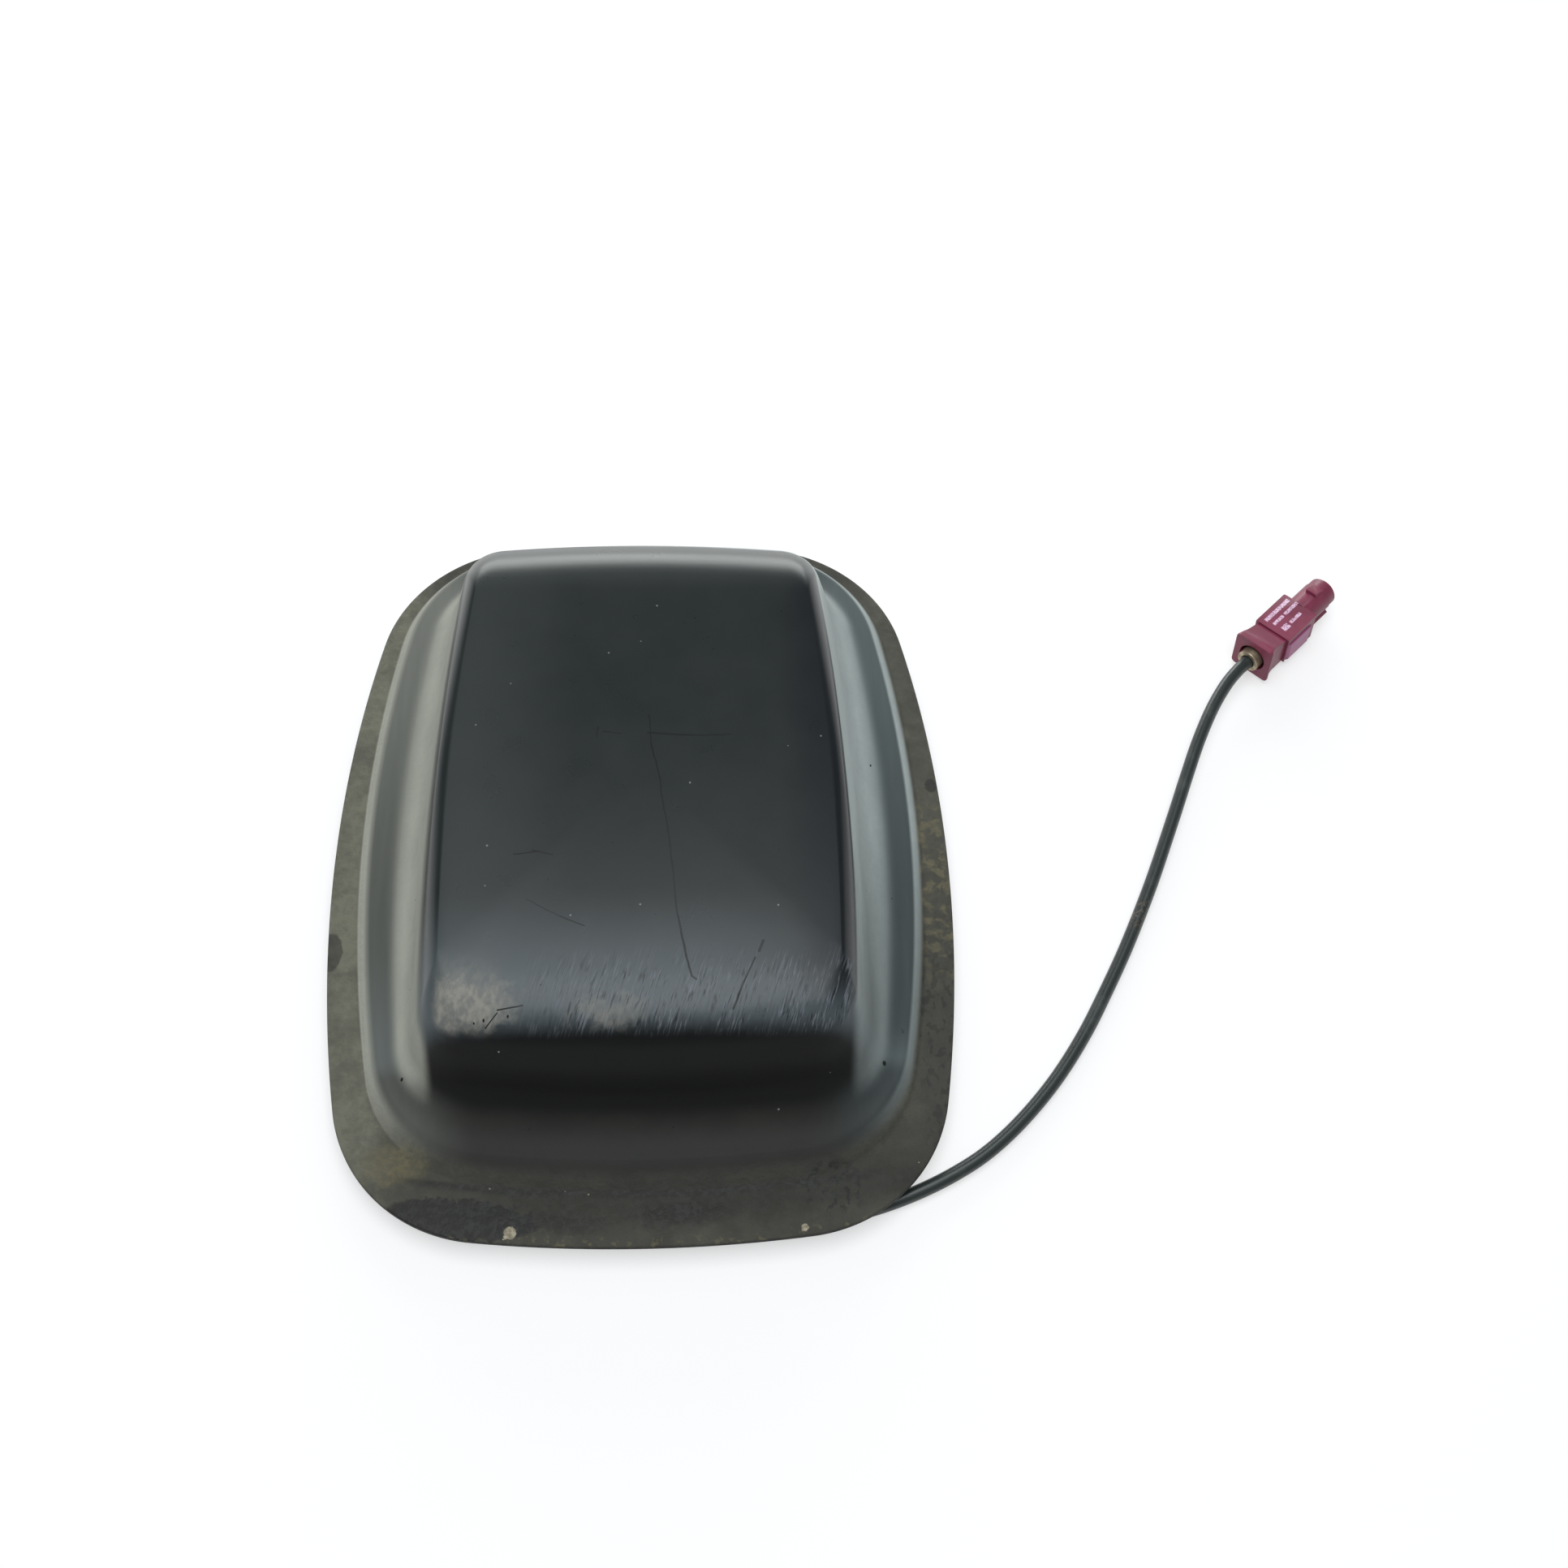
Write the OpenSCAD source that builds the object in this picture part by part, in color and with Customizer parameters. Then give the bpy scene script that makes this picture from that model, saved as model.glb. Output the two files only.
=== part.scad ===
// Car telephone aerial. A thin moulded hump cover with a flat flange closes over a tray, which
// holds a sheet metal aerial above a ground plate. A short coaxial lead ends in a coded plug.
// +Z is up and the origin is at the bottom centre of the body, on the surface it stands on.
// The cable leaves at the near right corner, and the plug lies to the right.

/* [Hump] */
// Width between the sharp upper edges of the side walls
hump_w = 91.2; // [84:0.2:98]
// Length between the sharp upper edges of the end walls
hump_l = 132; // [124:1:142]
// Height of these edges above the ground
hump_z = 36.6; // [35:0.2:42]
// Rise of the crown above the edges
crown = 0.8; // [0.4:0.1:2]
// Draft of the walls in degrees
draft = 15; // [12:1:18]
// Reach of the rounded shoulders along the sides
shoulder = 2.7; // [2:0.1:5]
// Reach of the rounded brow at the near end
brow_near = 13.8; // [8:0.2:15]
// Reach of the rounded brow at the far end
brow_far = 13; // [8:0.2:15]
// Corner radius of the hump in plan
hump_r = 9; // [8:0.5:12]
// Bow radius of the hump's sides
hump_bow = 720; // [500:10:1000]

/* [Skirt] */
// Width of the hollow sweep along the sides
sweep_side = 9.8; // [8:0.1:12]
// Width of the hollow sweep at the near end
sweep_near = 9.5; // [8:0.1:12]
// Width of the hollow sweep at the far end
sweep_far = 7.9; // [7:0.1:10]
// Width of the ledge beyond the sweep
ledge = 0.9; // [0.6:0.1:2]
// Height of the ledge's edge above the ground
ledge_z = 9.2; // [8.8:0.1:10.5]
// Fall of the ledge towards its edge
ledge_fall = 0.3; // [0.1:0.1:0.6]
// Run of the low step at the sides
step_side = 2.2; // [1.8:0.1:3]
// Run of the low step at the near end
step_near = 5.5; // [4:0.1:7]
// Run of the low step at the far end
step_far = 1.2; // [1:0.1:2]
// Bow radius of the skirt's sides
skirt_bow = 315; // [280:5:400]
// Radius of the skirt's near corners
skirt_near_r = 28; // [24:1:32]
// Radius of the skirt's far corners
skirt_far_r = 33; // [28:1:36]

/* [Flange] */
// Width of the flange beside the step at the sides
flange_side = 6.2; // [5:0.1:9]
// Width of the flange beside the step at the near end
flange_near = 12; // [10:0.2:15]
// Width of the flange beside the step at the far end
flange_far = 1.5; // [1.2:0.1:4]
// Thickness of the flange
flange_t = 1.6; // [1.2:0.1:2]
// Height of the flange's underside above the ground
flange_z = 5; // [4.8:0.1:6]
// Bow radius of the flange's sides
flange_bow = 325; // [290:5:400]
// Radius of the flange's near corners
flange_near_r = 35.5; // [32:0.5:40]
// Radius of the flange's far corners
flange_far_r = 38; // [34:0.5:42]
// Wall thickness of the hump and the skirt
cover_t = 2; // [1.6:0.1:2.4]

/* [Tray] */
// How far the tray's rim reaches past the step
tray_lip = 0.8; // [0.4:0.1:1]
// Thickness of the tray's floor
floor_t = 2; // [1.6:0.1:2.4]
// Width of the tray's rim
rim_w = 3.5; // [3:0.1:4.5]
// Thickness of the gasket on the rim
gasket_t = 0.5; // [0.3:0.1:0.8]
// Width of the gasket
gasket_w = 2.6; // [2:0.1:2.8]
// Thickness of the foam pad under the tray
pad_t = 1; // [0.8:0.1:1.2]
// Width of the foam pad
pad_w = 12; // [8:0.5:16]
// Margin between the pad and the tray's edge
pad_margin = 2.5; // [1.5:0.1:5]
// Thickness of the tray's ribs
rib_t = 1.4; // [1:0.1:2]
// Outer diameter of the tray's screw bosses
boss_d = 7.5; // [6.5:0.1:9]

/* [Ground plate] */
// Width of the ground plate
ground_w = 92; // [86:1:94]
// Length of the ground plate
ground_l = 132; // [126:1:134]
// Thickness of the ground plate and the radiator
sheet_t = 0.5; // [0.4:0.1:0.8]
// Height of the ground plate's top above the ground
ground_z = 8.5; // [8.3:0.1:9]
// Height of its turned-up sides
ground_lip = 2.5; // [1.5:0.1:3]
// Distance between its screws across the part
ground_screw_x = 76; // [70:1:80]
// Distance between its screws along the part
ground_screw_y = 112; // [100:1:118]

/* [Radiator] */
// Width of the radiator
radiator_w = 76; // [70:1:80]
// Length of the radiator
radiator_l = 102; // [96:1:106]
// Height of the radiator's underside above the ground
radiator_z = 31; // [28:0.2:31.4]
// Depth of its turned-down sides
radiator_lip = 4; // [2:0.5:6]
// Distance between the spacers across the part
spacer_x = 60; // [54:1:62]
// Distance between the spacers along the part
spacer_y = 84; // [78:1:88]
// Diameter of a spacer
spacer_d = 7; // [6:0.1:8]
// Width of the feed tongue and of the shorting leg
tongue_w = 6; // [4:0.5:7]

/* [Screws] */
// Diameter of the shank of the larger screws
screw_d = 2.9; // [2.5:0.1:3.2]
// Diameter of the head of the larger screws
screw_head_d = 5.6; // [5:0.1:6.5]
// Height of the head of the larger screws
screw_head_h = 1.8; // [1.4:0.1:2.2]
// Length of the radiator's screws under the head
radiator_screw_l = 8; // [5:0.5:10]
// Diameter of the shank of the small screws
small_d = 2.4; // [2:0.1:2.6]
// Diameter of the head of the small screws
small_head_d = 4.4; // [3.6:0.1:4.6]
// Height of the head of the small screws
small_head_h = 1.4; // [1:0.1:1.6]
// Length of the small screws under the head
small_screw_l = 3; // [2:0.1:3.4]
// Radial clearance of a shank in its hole
screw_gap = 0.05; // [0.03:0.01:0.1]

/* [Cable] */
// Outer diameter of the cable
cable_d = 3.3; // [3:0.1:3.4]
// Radial clearance of the cable in its grommet and ferrule
cable_gap = 0.05; // [0.03:0.01:0.1]
// Diameter over the braid
braid_d = 2.6; // [2.2:0.1:2.8]
// Diameter of the inner insulation
insulation_d = 1.9; // [1.4:0.1:2]
// Diameter of the inner conductor
core_d = 0.7; // [0.5:0.1:0.9]
// Width of the grommet
grommet_w = 6.4; // [6:0.1:7]
// Length of the grommet in the spout
grommet_l = 9; // [7:0.5:10]
// Height of the cable's middle at the grommet
exit_z = 2.35; // [2.3:0.05:2.5]

/* [Plug] */
// Width of the plug's rear plate
plug_w = 10.9; // [10:0.1:12]
// Length of the plug
plug_l = 30.8; // [28:0.2:34]
// Distance from the back of the plug to its label block
plug_neck = 7.8; // [7:0.1:9]
// Length of the label block
plug_block = 12.5; // [11:0.1:14]
// Width of the label block
plug_block_w = 10.2; // [9.6:0.1:11]
// Length of the hollow flare behind the neck
flare_l = 3.6; // [2.5:0.1:5]
// Diameter of the plug's nose
nose_d = 8; // [7.6:0.1:9]
// Reduction of the diameter at the nose's tip
nose_relief = 0.4; // [0.34:0.02:0.5]
// Length of the reduced tip
nose_tip = 3; // [2:0.1:3.4]
// Radial gap between the shield contact and the nose around it
nose_gap = 0.3; // [0.2:0.05:0.4]
// Height of the plug's middle above the ground
plug_z = 6; // [6:0.1:7]
// Roll of the plug about its own axis in degrees
plug_roll = 6; // [0:1:8]
// Diameter of the crimp ferrule
ferrule_d = 5.9; // [5.4:0.1:6]
// Diameter of the shield contact
shield_d = 6; // [5.6:0.1:6.2]

/* [Hidden] */
$fn = 48;
eps = 0.01;

// Colours
black = [0.07, 0.075, 0.08];
foam = [0.16, 0.16, 0.17];
tin = [0.72, 0.72, 0.7];
brass = [0.78, 0.64, 0.36];
copper = [0.75, 0.45, 0.3];
claret = [0.4, 0.1, 0.18];

// Plan outlines. Each is [half width, near y, far y, y of the widest point, side radius,
// near radius, far radius, near corner radius, far corner radius].
wall_run = (hump_z - ledge_z - ledge_fall)*tan(draft);
near_reach = wall_run + sweep_near + ledge + step_near + flange_near;
far_reach = wall_run + sweep_far + ledge + step_far + flange_far;
body_l = hump_l + near_reach + far_reach;
hump_y = (near_reach - far_reach)/2;
hump_wide_y = -18;
skirt_wide_y = 2;
flange_wide_y = -7;
near_bow = 325;
far_bow = 400;
edge_o = [hump_w/2, hump_y - hump_l/2, hump_y + hump_l/2, hump_wide_y, hump_bow,
    near_bow, far_bow, hump_r, hump_r];
top_o = [hump_w/2 - shoulder, edge_o[1] + brow_near, edge_o[2] - brow_far, hump_wide_y,
    hump_bow, near_bow, far_bow, hump_r/2, hump_r/2];
foot_o = inset(edge_o, -wall_run);
ledge_o = [foot_o[0] + sweep_side + ledge, foot_o[1] - sweep_near - ledge,
    foot_o[2] + sweep_far + ledge, skirt_wide_y, skirt_bow, near_bow, far_bow,
    skirt_near_r, skirt_far_r];
step_o = [ledge_o[0] + step_side, ledge_o[1] - step_near, ledge_o[2] + step_far,
    skirt_wide_y, skirt_bow + step_side, near_bow, far_bow, skirt_near_r + step_side,
    skirt_far_r + step_side];
flange_o = [step_o[0] + flange_side, -body_l/2, body_l/2, flange_wide_y, flange_bow,
    near_bow, far_bow, flange_near_r, flange_far_r];
tray_o = inset(step_o, -tray_lip);
pad_o = inset(tray_o, pad_margin);

// Points on each half of an outline: near end, near corner, side, far corner, far end
arc_n = [6, 8, 12, 8, 6];

// The same outline, moved inwards by d
function inset(o, d) = [o[0] - d, o[1] + d, o[2] - d, o[3], o[4] - d, o[5] - d, o[6] - d,
    o[7] - d, o[8] - d];
function turn(v) = atan2(v[1], v[0]);
function arc(c, r, a0, a1, n) = [for (i = [0:n - 1]) c + r*ray(a0 + (a1 - a0)*i/n)];
function ray(a) = [cos(a), sin(a)];
// Centre of a corner of radius r inside the side arc (s, rs) and the end arc (e, re)
function corner(s, rs, e, re, r) = let(
    d = norm(e - s),
    along = (pow(rs - r, 2) - pow(re - r, 2) + d*d)/(2*d),
    off = sqrt(pow(rs - r, 2) - along*along),
    u = (e - s)/d,
    k = [for (f = [-1, 1]) s + along*u + f*off*[-u[1], u[0]]])
    k[0][0] > k[1][0] ? k[0] : k[1];
function half_outline(o) = let(
    s = [o[0] - o[4], o[3]],
    e = [0, o[1] + o[5]],
    f = [0, o[2] - o[6]],
    kn = corner(s, o[4], e, o[5], o[7]),
    kf = corner(s, o[4], f, o[6], o[8]))
    concat(
        arc(e, o[5], -90, turn(kn - e), arc_n[0]),
        arc(kn, o[7], turn(kn - e), turn(kn - s), arc_n[1]),
        arc(s, o[4], turn(kn - s), turn(kf - s), arc_n[2]),
        arc(kf, o[8], turn(kf - s), turn(kf - f), arc_n[3]),
        arc(f, o[6], turn(kf - f), 90, arc_n[4]),
        [[0, o[2]]]);
function outline(o) = let(h = half_outline(o), n = len(h))
    concat(h, [for (i = [n - 2:-1:1]) [-h[i][0], h[i][1]]]);
function ring(o, z) = [for (p = outline(o)) [p[0], p[1], z]];

// Blends between rings
function mix(a, b, f) = a + (b - a)*f;
function conic(a, c, b, w, t) = let(u = 1 - t)
    (u*u*a + 2*w*u*t*c + t*t*b)/(u*u + 2*w*u*t + t*t);
function conic_rings(a, c, b, n) = [for (k = [1:n - 1])
    [for (i = [0:len(a) - 1]) conic(a[i], c[i], b[i], cos(45 - draft/2), k/n)]];
// Points on the lines from ring a to ring b, as far from a as ring c is
function reach_ring(a, b, c) = [for (i = [0:len(a) - 1])
    a[i] + (b[i] - a[i])*norm(c[i] - a[i])/norm(b[i] - a[i])];
function mix_ring(a, b, f) = [for (i = [0:len(a) - 1]) mix(a[i], b[i], f)];
function crown_rings(t, steps) = let(
    top = ring(top_o, hump_z - t),
    c = [0, hump_y, hump_z - t])
    [for (s = steps) [for (p = top) mix(c, p, s) + [0, 0, crown*(1 - s*s)]]];

// Rings of the cover's skin from the top of the hump to the ledge, at depth t under the outside
function hump_rings(t, n) = let(
    lean = t*(1/cos(draft) - tan(draft)),
    top = ring(top_o, hump_z - t),
    edge = ring(inset(edge_o, lean), hump_z - t),
    foot = ring(inset(foot_o, lean), ledge_z + ledge_fall - t),
    sweep = ring(inset(ledge_o, ledge), ledge_z + ledge_fall - t),
    high = reach_ring(edge, foot, top),
    low = reach_ring(foot, edge, sweep))
    concat([top], conic_rings(top, edge, high, n), [high], [low],
        conic_rings(low, foot, sweep, n), [sweep]);
function flip(v) = [for (i = [len(v) - 1:-1:0]) v[i]];

// One closed skin over rings of equal length, closed by a point at each end
module skin(first, rings, last) {
    n = len(rings[0]);
    m = len(rings);
    points = concat([first], [for (r = rings) for (p = r) p], [last]);
    faces = concat(
        [for (i = [0:n - 1]) [0, 1 + (i + 1)%n, 1 + i]],
        [for (k = [0:m - 2]) for (i = [0:n - 1]) let(a = 1 + k*n, j = (i + 1)%n)
            [a + i, a + j, a + n + i]],
        [for (k = [0:m - 2]) for (i = [0:n - 1]) let(a = 1 + k*n, j = (i + 1)%n)
            [a + j, a + n + j, a + n + i]],
        [for (i = [0:n - 1]) let(a = 1 + (m - 1)*n) [a + i, a + (i + 1)%n, 1 + m*n]]);
    polyhedron(points, faces);
}

module plate(o, z0, z1) {
    translate([0, 0, z0]) linear_extrude(z1 - z0) polygon(outline(o));
}

// Rectangle with rounded corners, as a point list about its middle
corner_steps = 8;
function rounded(w, l, r) = [for (q = [0:3]) for (i = [0:corner_steps])
    [(q == 0 || q == 3 ? 1 : -1)*(w/2 - r), (q < 2 ? 1 : -1)*(l/2 - r)]
    + r*ray(90*(q + i/corner_steps))];

// Pan head screw with its seat at z = 0, pointing down
module screw(d, head_d, head_h, l) {
    difference() {
        union() {
            cylinder(d = head_d, h = head_h*0.5);
            translate([0, 0, head_h*0.5]) cylinder(d1 = head_d, d2 = head_d*0.7, h = head_h*0.5);
            translate([0, 0, -l]) cylinder(d = d, h = l + eps);
        }
        for (a = [0, 90]) rotate(a) translate([-head_d*0.28, -0.3, head_h*0.45])
            cube([head_d*0.56, 0.6, head_h]);
    }
}

// The four places of a rectangle of holes about y
module four(x, y, mid) {
    for (i = [-1, 1]) for (j = [-1, 1]) translate([i*x/2, mid + j*y/2, 0]) children();
}

// Tubes along a route
function unit(v) = v/norm(v);
function spline(p, i, t) = let(
    n = len(p) - 1,
    a = p[max(i - 1, 0)], b = p[i], c = p[i + 1], d = p[min(i + 2, n)])
    0.5*(2*b + (c - a)*t + (2*a - 5*b + 4*c - d)*t*t + (3*b - a - 3*c + d)*t*t*t);
function smooth(p, m) = concat(
    [for (i = [0:len(p) - 2]) for (k = [0:m - 1]) spline(p, i, k/m)], [p[len(p) - 1]]);
function heading(p, i) = unit(p[min(i + 1, len(p) - 1)] - p[max(i - 1, 0)]);
function tube_ring(c, dir, r, n) = let(s = unit(cross(dir, [0, 0, 1])), u = cross(s, dir))
    [for (j = [0:n - 1]) c + r*(cos((j + 0.5)*360/n)*s + sin((j + 0.5)*360/n)*u)];
module tube(p, r, n) {
    skin(p[0], [for (i = [0:len(p) - 1]) tube_ring(p[i], heading(p, i), r, n)],
        p[len(p) - 1]);
}

// Levels of the tray, its plates and the aerial
rim_z = flange_z - gasket_t;
floor_z = pad_t + floor_t;
ground_y = 6;
ground_low = ground_z - sheet_t;
board = [24, 24, 1];
board_at = [-16, -44];
board_z = ground_z + board[2];
aerial_y = 7;
spacer_mid_y = 8;

// The cable's exit, and the routes on both sides of it
exit = [17, tray_o[1] + 1.8, exit_z];
exit_turn = -24;
exit_dir = [cos(exit_turn), sin(exit_turn), 0];
core_z = ground_z + cable_d/2 + cable_gap;
lead_x = -5;
jacket_y = -54;
braid_y = -46.5;
insulation_y = -44.3;
core_y = -38;
lead_points = [exit, exit - 4*exit_dir, exit - 8*exit_dir, exit - 11*exit_dir,
    [3, -73.3, 3], [-0.6, -70.4, 4.3], [-3.2, -66.8, 6.2], [-4.6, -62.8, 8.2],
    [lead_x, -58.8, 9.6], [lead_x, jacket_y - 2, core_z], [lead_x, jacket_y - 1, core_z],
    [lead_x, jacket_y, core_z]];
plug_at = [154.3, 57.3, plug_z];
plug_turn = 43.5;
plug_dir = [cos(plug_turn), sin(plug_turn), 0];
// How deep the cable sits in the plug's ferrule
cable_seat = 3;
// The spout's block about the exit, and the open bay in front of it: inner, right, outer and
// left ends, along and across the exit's direction
spout = [-14, -5.4, 18, 8.5];
bay = [-1.2, -9, 42.8, 5];
pad_gap = [-22, -9, 44, 10];
collar_t = 1.2;
collar_w = grommet_w + 1.6;
grommet_gap = 0.1;
cable_points = [exit, exit + 4*exit_dir, [25, -83.2, 2.1], [29.5, -84.7, 1.9],
    [35, -85.6, 1.8], [41, -85.6, 1.8], [47.5, -84.5, 1.8], [54, -82.6, 1.8],
    [61, -79.9, 1.8], [68, -76.5, 1.8], [75, -72.2, 1.8], [82, -66.4, 1.8],
    [89, -59.2, 1.8], [95, -51.8, 1.8], [101, -43, 1.8], [106.5, -33.6, 1.8],
    [112, -23.6, 1.9], [117, -13.6, 2.1], [121.5, -4, 2.5], [125.5, 5.2, 2.9],
    [129.5, 14.6, 3.4], [133.5, 24.2, 4], [137.5, 33.4, 4.7], [142, 42.2, 5.3],
    [146.4, 49, 5.8], plug_at - 6*plug_dir, plug_at - 3*plug_dir, plug_at,
    plug_at + cable_seat*plug_dir];
tube_sides = 8;

module at_exit() {
    translate([exit[0], exit[1], 0]) rotate(exit_turn) children();
}

// Block between two levels over a place given as above
module exit_block(at, z0, z1) {
    at_exit() translate([at[0], at[1], z0]) cube([at[2] - at[0], at[3] - at[1], z1 - z0]);
}

// Moulded cover: hump, hollow sweep, ledge, low step and flat flange in one skin
module cover() {
    color(black) {
        flange_top = flange_z + flange_t;
        edge_r = 0.4;
        outer_ledge = ring(ledge_o, ledge_z);
        outer_step = ring(step_o, flange_top);
        ledge_in = ring(inset(ledge_o, 0.5), ledge_z + ledge_fall*0.4);
        ledge_out = mix_ring(outer_ledge, outer_step, 0.2);
        outside = concat(
            crown_rings(0, [0.35, 0.7]), hump_rings(0, 6),
            [ledge_in],
            [mix_ring(outer_ledge, mix_ring(ledge_in, ledge_out, 0.5), 0.3)],
            [ledge_out, outer_step],
            [ring(inset(flange_o, edge_r), flange_top)],
            [ring(flange_o, flange_top - edge_r)],
            [ring(flange_o, flange_z + edge_r)],
            [ring(inset(flange_o, edge_r), flange_z)]);
        inside = concat(
            crown_rings(cover_t, [0.5]), hump_rings(cover_t, 4),
            [ring(inset(ledge_o, cover_t*0.8), ledge_z - cover_t)],
            [ring(inset(step_o, cover_t), flange_z)]);
        skin([0, hump_y, hump_z + crown], concat(outside, flip(inside)),
            [0, hump_y, hump_z + crown - cover_t]);
    }
}

// Slot through which the cable rises, along its points from first to last
module cable_slot(first, last, gap, z0, z1) {
    half = cable_d/2 + gap;
    p = smooth([for (i = [first:last]) [lead_points[i][0], lead_points[i][1]]], 2);
    side = [for (i = [0:len(p) - 1]) let(h = heading(p, i)) [-h[1], h[0]]];
    translate([0, 0, z0]) linear_extrude(z1 - z0)
        polygon(concat([for (i = [0:len(p) - 1]) p[i] + half*side[i]],
            [for (i = [len(p) - 1:-1:0]) p[i] - half*side[i]]));
}

// Underside ribs of the tray, a square grid inside the pad
module tray_grid() {
    pitch = 24;
    low = pad_t*0.2;
    intersection() {
        plate(inset(tray_o, pad_margin + pad_w + 2), low, pad_t + eps);
        union() {
            for (i = [-2:2]) translate([i*pitch - rib_t/2, -body_l/2, low])
                cube([rib_t, body_l, pad_t]);
            for (j = [-3:3]) translate([-flange_o[0], ground_y + j*pitch - rib_t/2, low])
                cube([2*flange_o[0], rib_t, pad_t]);
        }
    }
}

// Moulded tray with rim, bosses, ribs and the cable's spout
module base_tray() {
    color(black) {
        boss_hole = screw_d/2 + screw_gap;
        difference() {
            union() {
                plate(tray_o, pad_t, floor_z);
                difference() {
                    plate(tray_o, pad_t, rim_z);
                    plate(inset(tray_o, rim_w), pad_t - 1, rim_z + 1);
                }
                exit_block(spout, pad_t, rim_z);
                four(ground_screw_x, ground_screw_y, ground_y)
                    cylinder(d = boss_d, h = ground_low);
                for (x = [-22, 22]) translate([x - rib_t/2, ground_y - ground_l*0.42, floor_z - eps])
                    cube([rib_t, ground_l*0.84, ground_low - floor_z - 1]);
                tray_grid();
            }
            four(ground_screw_x, ground_screw_y, ground_y) {
                translate([0, 0, pad_t + 0.6]) cylinder(r = boss_hole, h = ground_low);
                translate([0, 0, -1]) cylinder(d = boss_d + 1, h = pad_t + 1);
            }
            exit_block([-collar_t - grommet_l - grommet_gap, -grommet_w/2 - grommet_gap,
                -collar_t + grommet_gap, grommet_w/2 + grommet_gap], -1, rim_z + 1);
            exit_block(bay, -1, rim_z + 1);
            cable_slot(2, 6, 0.5, -1, rim_z + 1);
        }
    }
}

// Adhesive foam frame under the tray, which the body rests on
module mounting_pad() {
    color(foam) difference() {
        plate(pad_o, 0, pad_t);
        plate(inset(pad_o, pad_w), -1, pad_t + 1);
        exit_block(pad_gap, -1, pad_t + 1);
    }
}

// Bead of sealant between the tray's rim and the flange
module cover_gasket() {
    color([0.2, 0.2, 0.2]) difference() {
        plate(inset(tray_o, 0.3), rim_z, flange_z);
        plate(inset(tray_o, 0.3 + gasket_w), rim_z - 1, flange_z + 1);
    }
}

// Rubber outlet in the tray's spout, with a collar outside
module cable_grommet() {
    low = 0.4;
    high = rim_z - grommet_gap;
    mid = (low + high)/2;
    color([0.1, 0.1, 0.1]) at_exit() difference() {
        union() {
            translate([-collar_t - grommet_l, 0, mid]) rotate([90, 0, 90])
                linear_extrude(grommet_l + eps) polygon(rounded(grommet_w, high - low, 0.8));
            translate([-collar_t, 0, mid]) rotate([90, 0, 90])
                linear_extrude(collar_t) polygon(rounded(collar_w, high - low, 0.8));
        }
        translate([-2*grommet_l, 0, exit_z]) rotate([0, 90, 0])
            cylinder(r = cable_d/2 + cable_gap, h = 4*grommet_l);
    }
}

// Tinned steel sheet with turned-up sides
module ground_plate() {
    lip_l = ground_l*0.78;
    color(tin) difference() {
        union() {
            translate([0, ground_y, ground_low]) linear_extrude(sheet_t)
                polygon(rounded(ground_w, ground_l, 10));
            for (s = [-1, 1]) translate([s*(ground_w/2 - sheet_t/2), ground_y + 1.5, ground_low])
                translate([-sheet_t/2, -lip_l/2, 0]) cube([sheet_t, lip_l, ground_lip + sheet_t]);
        }
        four(ground_screw_x, ground_screw_y, ground_y)
            translate([0, 0, ground_low - 1]) cylinder(d = screw_d + 0.3, h = 3);
        four(spacer_x, spacer_y, spacer_mid_y)
            translate([0, 0, ground_low - 1]) cylinder(d = spigot_d + 0.1, h = 3);
        for (p = small_places) translate([p[0], p[1], ground_low - 1])
            cylinder(r = small_d/2 + screw_gap, h = 3);
        cable_slot(3, 9, 1, ground_low - 1, ground_z + 1);
    }
}
spigot_d = 3.4;

// Self-tapping screws of the ground plate, in the tray's bosses
module ground_screws() {
    color(tin) four(ground_screw_x, ground_screw_y, ground_y) translate([0, 0, ground_z])
        screw(screw_d, screw_head_d, screw_head_h, ground_z - pad_t - 1);
}

// Window lanced in the radiator, whose metal is bent down as a tongue of length l
module lance(x, l) {
    translate([x, aerial_front, radiator_z - 1]) cube([tongue_w, l, sheet_t + 2]);
}
aerial_front = -30;

// A tongue of the sheet, bent down to z and out along +Y
module tongue(x, z, foot) {
    translate([x, aerial_front, z]) cube([tongue_w, sheet_t, radiator_z + sheet_t - z]);
    translate([x, aerial_front, z]) cube([tongue_w, sheet_t + foot, sheet_t]);
}

feed_x = lead_x - tongue_w/2 + 1;
short_x = 12;
feed_foot = 3;
short_foot = 7;
clamp_y = jacket_y + 3.5;
clamp_t = 0.6;
clamp_x = braid_d/2 + clamp_t + small_head_d/2 + 0.4;
small_places = [[lead_x - clamp_x, clamp_y], [lead_x + clamp_x, clamp_y],
    [short_x + tongue_w/2, aerial_front + sheet_t + short_foot/2]];

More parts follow.
